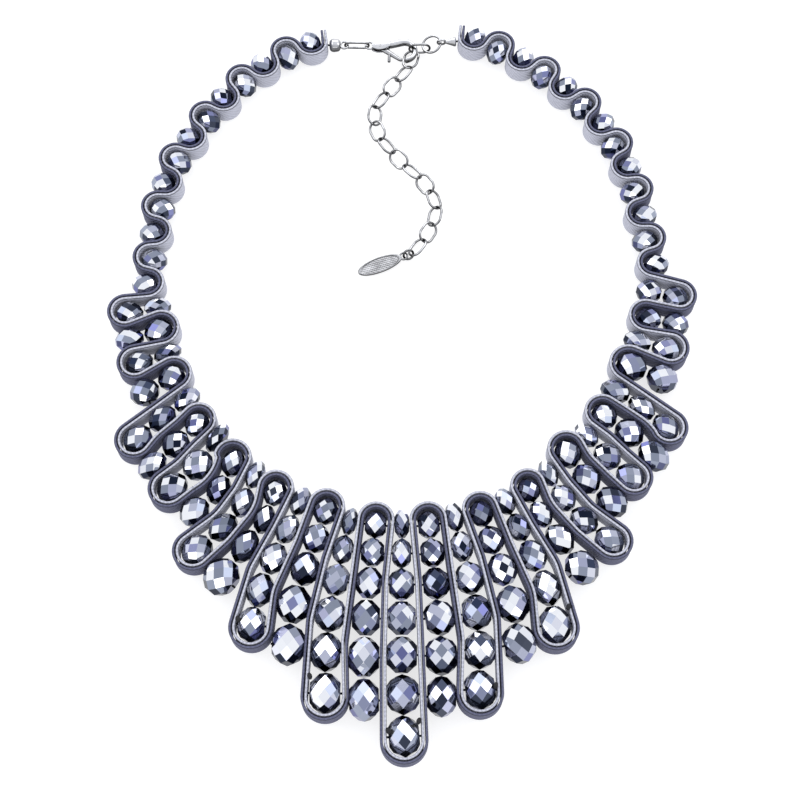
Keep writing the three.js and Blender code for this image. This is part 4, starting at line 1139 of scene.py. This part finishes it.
def make_threads(groups, material):
    """The sewing thread: along each neck from bead to bead, out of the ends of each column
    bead's hole into the braid, and its cut ends beside the last beads of the longest folds. A
    cut end at share t from -1 to 1 of its length has the height arch * (1 - t^2) and the radius
    times sqrt(1 - t^2)."""
    shell = Shell()
    for rows, crimp in ((groups["left"], "left_crimp"), (groups["right"], "right_crimp")):
        inside = INSIDE_CRIMP if crimp == "left_crimp" else -INSIDE_CRIMP
        start = (*row_point(ROW[crimp] + inside), middle_height(row_point(0)[1]))
        stops = [start, *[row[:3] for row in rows]]
        shell.add_rod(tube(stops, THREAD_RADIUS))
    for x, y, z, _, thickness, heading in groups["bib"]:
        out = (thickness / 2 + THREAD_REACH) * np.array([*unit(heading), 0])
        ends = [np.array([x, y, z]) - out, np.array([x, y, z]) + out]
        shell.add_rod(tube(ends, THREAD_RADIUS))
    firsts = np.cumsum([0] + [fold[4] for fold in FOLDS])
    share = np.linspace(-1, 1, 9)
    for fold, side, towards_mouth in THREAD_ENDS:
        x, y, z, diameter, thickness, heading = groups["bib"][firsts[fold - 1]]
        across = unit(heading) * np.sign(math.cos(heading))
        along = np.array([-across[1], across[0]])
        middle = np.array([x, y]) + side * thickness / 2 * across + towards_mouth * diameter * along
        line = middle + np.outer(share, END_REACH * along + END_LEAN * side * across)
        line = np.column_stack([line, z + diameter * END_RISE + END_ARCH * (1 - share**2)])
        radius = END_RADIUS * np.sqrt(np.maximum(LEAST_THREAD_END, 1 - share**2))
        shell.add_rod(tube(line, radius))
    shell.piece("sewing_thread", material, [], "dark_braid")


class NECKLACE_OT_beads(bpy.types.Operator):
    """Makes the cut beads of the neck and of the bib's columns"""

    bl_idname = "necklace.beads"
    bl_label = "Make Beads"

    def execute(self, context):
        look = settings().beads
        # The facets' scale, on which their painted reflection and painted shade are read
        tones = [(0.0, look.navy), (0.38, look.grey), (0.68, look.lilac), (1.0, look.silver)]
        material = crystal_material("coated_crystal", tones, look.violet)
        groups = all_beads()
        make_beads("left_neck_beads", groups["left"], ["neck_beads_left"], material, 11)
        make_beads("right_neck_beads", groups["right"], ["neck_beads_right"], material, 12)
        columns = [f"bead_column_{k + 1:02d}" for k in range(len(FOLDS))]
        make_beads("bib_beads", groups["bib"], columns, material, 13)
        make_threads(groups, thread_material("black_thread", look.thread))
        return {"FINISHED"}


# Fittings


def crimp_profile(radius, length, edge, neck):
    """Profile of a crimp along X: closed ends, rounded at their edges by quarter circles, joined
    by a side that narrows towards the far end, where the eye is, to a share of the radius."""
    a = np.linspace(0, math.pi / 2, 6)
    start = np.stack([edge * (1 - np.sin(a[::-1])), radius - edge + edge * np.cos(a[::-1])], -1)
    far = radius * neck
    small = min(edge, CRIMP_ROUNDING * far)
    end = np.stack([length - small * (1 - np.sin(a)), far - small + small * np.cos(a)], -1)
    holes = [[0, radius * CRIMP_HOLES[0]]], [[length, far * CRIMP_HOLES[1]]]
    ordered = [ring[np.argsort(ring[:, 0])] for ring in (start, end[::-1])]
    return np.vstack([holes[0], *ordered, holes[1]])


def chain_joints():
    """The held link's middle in plan, and the points where the chain's other links meet, at
    even distances along its route, at their heights."""
    held = row_point(ROW["held_link"], ROW["claw"][1] + HELD_LINK_ACROSS)
    start = held + np.array(FIRST_JOINT_STEP)
    route, along = curve_through([start + np.array(step) for step in EXTENDER_ROUTE])
    count = int(along[-1] // LINK_PITCH)
    plan = at_distance(route, along, LINK_PITCH * np.arange(count + 1))
    rest = (LINK_WIDTH - WIRE_DIAMETER) / 2 * math.sin(LINK_TILT) + WIRE_RADIUS + LINK_LIFT
    heights = np.full(count + 1, rest)
    heights[:2] = FIRST_JOINT_HEIGHTS
    return held, np.column_stack([plan, heights])


def make_loop(name, loop, node, metal):
    """A piece that is one loop of wire."""
    shell = Shell()
    shell.add_ring(loop)
    shell.piece(name, metal, [node], "silver")


class NECKLACE_OT_fittings(bpy.types.Operator):
    """Makes the crimps, the long link, the round ring and the extender chain"""

    bl_idname = "necklace.fittings"
    bl_label = "Make Fittings"

    def execute(self, context):
        metal = silver_material("bright_plating", settings().fittings.silver, WIRE_TONES)
        plate = silver_material("crimp_plating", settings().fittings.silver, PLATE_TONES)
        crimp_height = float(middle_height(row_point(0)[1]))
        for side, towards, eye_tilt, diameter, edge, neck in CRIMPS:
            shell = Shell()
            barrel = lathe(crimp_profile(diameter / 2 * CRIMP_FIT, CRIMP_LENGTH, edge, neck))
            at = (*row_point(ROW[f"{side}_crimp"]), crimp_height)
            shell.add_rod(turned(barrel, heading=ROW_TURN + towards, middle=at))
            eye = wire_loop(EYE_DIAMETER, EYE_DIAMETER)
            at = (*row_point(ROW[f"{side}_eye"]), crimp_height)
            shell.add_ring(turned(eye, eye_tilt, 0, ROW_TURN, at))
            shell.piece(f"{side}_crimp", plate, [f"crimp_{side}"], "silver")

        slope = math.asin((CLASP_MIDDLE_HEIGHT - crimp_height) / CLASP_LINK_LENGTH)
        at = (*row_point(ROW["clasp_link"]), (CLASP_MIDDLE_HEIGHT + crimp_height) / 2)
        loop = wire_loop(CLASP_LINK_LENGTH, CLASP_LINK_WIDTH)
        make_loop("long_link", turned(loop, math.pi / 2, slope, ROW_TURN, at), "clasp_link", metal)

        loop = wire_loop(EXTENDER_RING_DIAMETER, EXTENDER_RING_DIAMETER)
        at = (*row_point(ROW["ring"]), EXTENDER_RING_HEIGHT)
        loop = turned(loop, 0, EXTENDER_RING_TILT, ROW_TURN, at)
        make_loop("round_ring", loop, "extender_ring", metal)

        held, joints = chain_joints()
        shell = Shell()
        loop = wire_loop(LINK_LENGTH, LINK_WIDTH)
        at = (*held, CLASP_MIDDLE_HEIGHT)
        shell.add_ring(turned(loop, math.pi / 2, 0, ROW_TURN, at))
        for k, (start, end) in enumerate(zip(joints[:-1], joints[1:])):
            axis = end - start
            tilt = FIRST_LINK_TILT if k == 0 else (LINK_TILT if k % 2 else -LINK_TILT)
            slope = math.asin(axis[2] / np.linalg.norm(axis))
            heading = math.atan2(axis[1], axis[0])
            shell.add_ring(turned(loop, tilt, slope, heading, (start + end) / 2))
        shell.piece("link_chain", metal, ["extender_chain"], "silver")
        return {"FINISHED"}


def tag_surface():
    """The tag as a grid of rings from its middle out and round the edge to the back: an oval
    whose top has a raised rim round a recess that is closely stippled, h = depth times
    cos(kx) cos(ky), and fades to nothing at the rim."""
    a = 2 * math.pi * np.arange(TAG_POINTS_AROUND) / TAG_POINTS_AROUND
    top = len(TAG_TOP_SHARES)
    share = np.array([*TAG_TOP_SHARES, *[out for out, _ in TAG_EDGE]])
    x = np.outer(share, np.cos(a)) * TAG_LENGTH / 2
    y = np.outer(share, np.sin(a)) * TAG_WIDTH / 2
    recess = 1 - smoothstep(share, TAG_RECESS_END, TAG_RIM_START)
    recess[top:] = 0
    crown = TAG_RIM_HEIGHT - TAG_RECESS_DEPTH * recess
    crown = np.where(share > TAG_ROUNDING_START, TAG_ROUNDING_HEIGHT, crown)
    crown[top:] = [z for _, z in TAG_EDGE]
    kx, ky = (2 * math.pi / length for length in STIPPLE_LENGTHS)
    stipple = STIPPLE_HEIGHT * recess[:, None] * np.cos(kx * x) * np.cos(ky * y)
    return np.stack([x, y, TAG_THICKNESS * crown[:, None] + stipple], -1)


def band_line(side, start, end_angle):
    """The middle line of one side of the clasp, from a distance off the pivot along the line that
    touches the claw's circle, then round the circle to an angle."""
    touch = side * (math.pi / 2 + LEVER_SLOPE)
    straight_end = np.array([CLASP_REACH, 0]) + CLAW_RADIUS * unit(touch)
    direction = straight_end / np.linalg.norm(straight_end)
    share = np.linspace(0, 1, 12, endpoint=False)[:, None]
    straight = direction * start * (1 - share) + straight_end * share
    angles = np.linspace(touch, end_angle, max(8, int(abs(end_angle - touch) * 14)))
    arc = np.array([CLASP_REACH, 0]) + CLAW_RADIUS * unit(angles)
    return np.vstack([straight, arc])


def softened(line, radius):
    """Factors that round off the two ends of a bar: sqrt(1 - (1 - d/r)^2) within r of an end."""
    along = distances_along(line)
    depth = np.minimum(1, np.minimum(along, along[-1] - along) / radius)
    return np.sqrt(np.maximum(LEAST_END, 1 - (1 - depth) ** 2))


def resampled(line, count):
    """The same line at even distances, closer together near its two ends."""
    along = distances_along(line)
    share = 0.5 - 0.5 * np.cos(np.linspace(0, math.pi, count))
    return at_distance(line, along, share * along[-1])


def clasp_bar(line, half_width, height, soft, count, middle_z=0.0):
    """A rounded bar of the clasp along a line in plan about the pivot, with half widths given
    along it: the superellipse section's width and height are times the ends' rounding."""
    line = resampled(np.asarray(line, float), count)
    share = np.linspace(0, 1, len(half_width)) if np.ndim(half_width) else [0, 1]
    widths = np.interp(np.linspace(0, 1, count), share, np.broadcast_to(half_width, len(share)))
    ends = softened(line, soft)
    return set_clasp(swept(line, widths * ends, height / 2 * ends) + (0, 0, middle_z))


def ring_plate(inner, outer, half_height, around=40, section=16):
    """A flat ring with rounded edges: a superellipse section (a, b) carried round the middle,
    each of its points at the reach of the ring's middle plus a."""
    angles = np.linspace(0, 2 * math.pi, around, endpoint=False)
    a, b = superellipse(2 * math.pi * (np.arange(section) + 0.5) / section, KNUCKLE_POWER)
    reach = (inner + outer) / 2 + a * (outer - inner) / 2
    x, y = np.outer(np.cos(angles), reach), np.outer(np.sin(angles), reach)
    return np.stack([x, y, np.broadcast_to(b * half_height, x.shape)], -1)


def set_clasp(points):
    """Clasp points, from about the pivot to their place in the row."""
    at = (*row_point(*ROW["pivot"]), CLASP_MIDDLE_HEIGHT)
    return turned(points, heading=CLASP_TURN + ROW_TURN, middle=at)


class NECKLACE_OT_clasp(bpy.types.Operator):
    """Makes the lobster clasp's body and its lever"""

    bl_idname = "necklace.clasp"
    bl_label = "Make Clasp"

    def execute(self, context):
        metal = silver_material("clasp_plating", settings().fittings.silver, PLATE_TONES)
        shell = Shell()
        claw = band_line(1, CHEEK_REACH - CLAW_OVERLAP, CLAW_TIP_ANGLE)
        shell.add_rod(clasp_bar(claw, CLAW_HALF_WIDTHS, CLAW_HEIGHT, soft=0.5 * MM, count=72))
        cheek_z = (CLAW_HEIGHT - CHEEK_THICKNESS) / 2
        cheek = curve_through([(-CLASP_ROOT_LENGTH, 0), (0, 0), CHEEK_REACH * unit(LEVER_SLOPE)])[0]
        for z in (-cheek_z, cheek_z):
            size = (CHEEK_HALF_WIDTHS, CHEEK_THICKNESS)
            shell.add_rod(clasp_bar(cheek, *size, soft=0.35 * MM, count=40, middle_z=z))
        root = [(-CLASP_ROOT_LENGTH, 0), (-CLASP_ROOT_END, 0)]
        shell.add_rod(clasp_bar(root, ROOT_HALF_WIDTH, CLAW_HEIGHT, soft=0.3 * MM, count=14))
        eye = wire_loop(EYE_DIAMETER, EYE_DIAMETER) - (CLASP_EYE_DISTANCE, 0, 0)
        shell.add_ring(set_clasp(eye))
        head = CLAW_HEIGHT / 2 + PIN_HEAD
        profile = [(-head, PIN_DIMPLE), (-head, PIN_RADIUS), (head, PIN_RADIUS), (head, PIN_DIMPLE)]
        # The pin is turned round X, then stood up
        pin = lathe(profile, around=20) @ np.array([[0, 0, 1], [0, 1, 0], [-1, 0, 0]])
        shell.add_rod(set_clasp(pin))
        shell.piece("lobster_clasp", metal, ["clasp_body"], "silver")

        # The lever's plating is painted darker than the body's, as painted shade
        metal = silver_material("lever_plating", settings().fittings.silver, LEVER_SHADED_TONES)
        shell = Shell()
        knuckle = ring_plate(PIN_RADIUS + PIN_ROOM, LEVER_KNUCKLE_RADIUS, LEVER_THICKNESS / 2)
        shell.add_ring(set_clasp(knuckle))
        tip = CLAW_TIP_ANGLE - LEVER_TIP_REACH / CLAW_RADIUS
        arm = band_line(-1, LEVER_START, tip)
        shell.add_rod(clasp_bar(arm, LEVER_HALF_WIDTHS, LEVER_THICKNESS, soft=0.3 * MM, count=48))
        start = TAB_DISTANCE * unit(-LEVER_SLOPE)
        tab = [start, start + TAB_LENGTH * unit(TAB_ANGLE)]
        shell.add_rod(clasp_bar(tab, TAB_HALF_WIDTHS, LEVER_THICKNESS, soft=0.35 * MM, count=24))
        shell.piece("clasp_trigger", metal, ["clasp_lever"], "silver", body="clasp_lever")
        return {"FINISHED"}


class NECKLACE_OT_tag(bpy.types.Operator):
    """Makes the bare tag and its ring on the end of the extender"""

    bl_idname = "necklace.tag"
    bl_label = "Make Tag"

    def execute(self, context):
        metal = silver_material("tag_plating", settings().fittings.silver, TAG_TONES, 0.08)
        low, high = (np.array(corner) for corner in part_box("tag_ring"))
        ring_middle = (low + high) / 2
        ring_middle[:2] -= ORIGIN_STEP
        loop = wire_loop(TAG_RING_DIAMETER, TAG_RING_DIAMETER)
        loop = turned(loop, TAG_RING_TILT, 0, TAG_TURN, ring_middle)
        make_loop("small_ring", loop, "tag_ring", metal)

        reach = (TAG_RING_DIAMETER - WIRE_DIAMETER) / 2
        hole = ring_middle - reach * np.array([math.cos(TAG_TURN), math.sin(TAG_TURN), 0])
        hole_distance = TAG_LENGTH / 2 + TAG_LUG_RADIUS / 2
        resting = TAG_THICKNESS / 2 + LINK_LIFT
        slope = math.asin((hole[2] - resting) / (hole_distance + TAG_LENGTH / 2))
        shell = Shell()
        plate = tag_surface() - (hole_distance, 0, 0)
        shell.add_rod(turned(plate, 0, slope, TAG_TURN, hole))
        lug = wire_loop(2 * TAG_LUG_RADIUS, 2 * TAG_LUG_RADIUS, TAG_LUG_WIRE)
        shell.add_ring(turned(lug, 0, slope, TAG_TURN, hole))
        shell.piece("oval_tag", metal, ["tag"], "silver")
        return {"FINISHED"}


# Stage


class NECKLACE_OT_stage(bpy.types.Operator):
    """Makes the camera, the lights and the pale floor"""

    bl_idname = "necklace.stage"
    bl_label = "Make Stage"

    def execute(self, context):
        stage = settings().stage
        scene = bpy.context.scene
        # The camera looks from the bib's side, tilted from straight down, at the middle of the
        # photo, which lies a little below the middle of the necklace.
        photo_middle = np.array([*ORIGIN_STEP, 0]) + (0, PHOTO_MIDDLE_STEP, 0)
        lens = bpy.data.cameras.new("photo_camera")
        lens.sensor_width = SENSOR_WIDTH
        lens.lens = SENSOR_WIDTH * stage.distance / stage.view_width
        lens.clip_start, lens.clip_end = 0.01, 10
        camera = add_object("photo_camera", lens)
        back = np.array([0, -math.sin(stage.tilt), math.cos(stage.tilt)])
        camera.location = photo_middle + stage.distance * back
        camera.rotation_euler = (stage.tilt, 0, 0)
        scene.camera = camera

        for name, (x, y, z), width, depth, power in SOFTBOXES:
            lamp = bpy.data.lights.new(name, "AREA")
            lamp.shape = "RECTANGLE"
            lamp.size, lamp.size_y = width, depth
            lamp.energy = power
            light = add_object(name, lamp)
            light.location = (x, y, z)
            # Each light faces the middle of the floor
            slope = math.acos(z / np.linalg.norm([x, y, z]))
            light.rotation_euler = (slope, 0, math.atan2(-y, -x) - math.pi / 2)

        world = bpy.data.worlds.new("studio")
        world.use_nodes = True
        world.node_tree.nodes["Background"].inputs[0].default_value = SKY_COLOUR
        world.node_tree.nodes["Background"].inputs[1].default_value = SKY_STRENGTH
        scene.world = world
        scene.view_settings.view_transform = "Standard"

        half = FLOOR_HALF_WIDTH
        corners = [(-half, -half, 0), (half, -half, 0), (half, half, 0), (-half, half, 0)]
        mesh = bpy.data.meshes.new("floor")
        mesh.from_pydata(corners, [], [[0, 1, 2, 3]])
        mesh.materials.append(paper_material("pale_paper", stage.floor, stage.glow))
        floor = add_object("floor", mesh)
        return {"FINISHED"}


class NecklaceSettings(bpy.types.PropertyGroup):
    """All the settings of the necklace."""

    braid: PointerProperty(type=BraidSettings)
    beads: PointerProperty(type=BeadSettings)
    fittings: PointerProperty(type=FittingSettings)
    stage: PointerProperty(type=StageSettings)


class NECKLACE_PT_panel(bpy.types.Panel):
    """Lists the necklace's settings and the buttons that make it."""

    bl_idname = "NECKLACE_PT_panel"
    bl_label = "Bib Necklace"
    bl_space_type = "VIEW_3D"
    bl_region_type = "UI"
    bl_category = "Necklace"

    def draw(self, context):
        chosen = context.scene.bib_necklace
        for title, group, operators in (
            ("Stage", chosen.stage, (NECKLACE_OT_stage,)),
            ("Braid", chosen.braid, (NECKLACE_OT_braid,)),
            ("Beads", chosen.beads, (NECKLACE_OT_beads,)),
            ("Fittings", chosen.fittings, (NECKLACE_OT_fittings, NECKLACE_OT_clasp, NECKLACE_OT_tag)),
        ):
            box = self.layout.box()
            box.label(text=title)
            for key in group.__annotations__:
                box.prop(group, key)
            for operator in operators:
                box.operator(operator.bl_idname)


CLASSES = (
    BraidSettings,
    BeadSettings,
    FittingSettings,
    StageSettings,
    NecklaceSettings,
    NECKLACE_OT_stage,
    NECKLACE_OT_braid,
    NECKLACE_OT_beads,
    NECKLACE_OT_fittings,
    NECKLACE_OT_clasp,
    NECKLACE_OT_tag,
    NECKLACE_PT_panel,
)


def register():
    for each in CLASSES:
        bpy.utils.register_class(each)
    bpy.types.Scene.bib_necklace = PointerProperty(type=NecklaceSettings)


def unregister():
    del bpy.types.Scene.bib_necklace
    for each in reversed(CLASSES):
        bpy.utils.unregister_class(each)


def main():
    register()
    bpy.ops.necklace.stage()
    bpy.ops.necklace.braid()
    bpy.ops.necklace.beads()
    bpy.ops.necklace.fittings()
    bpy.ops.necklace.clasp()
    bpy.ops.necklace.tag()


if __name__ == "__main__":
    main()
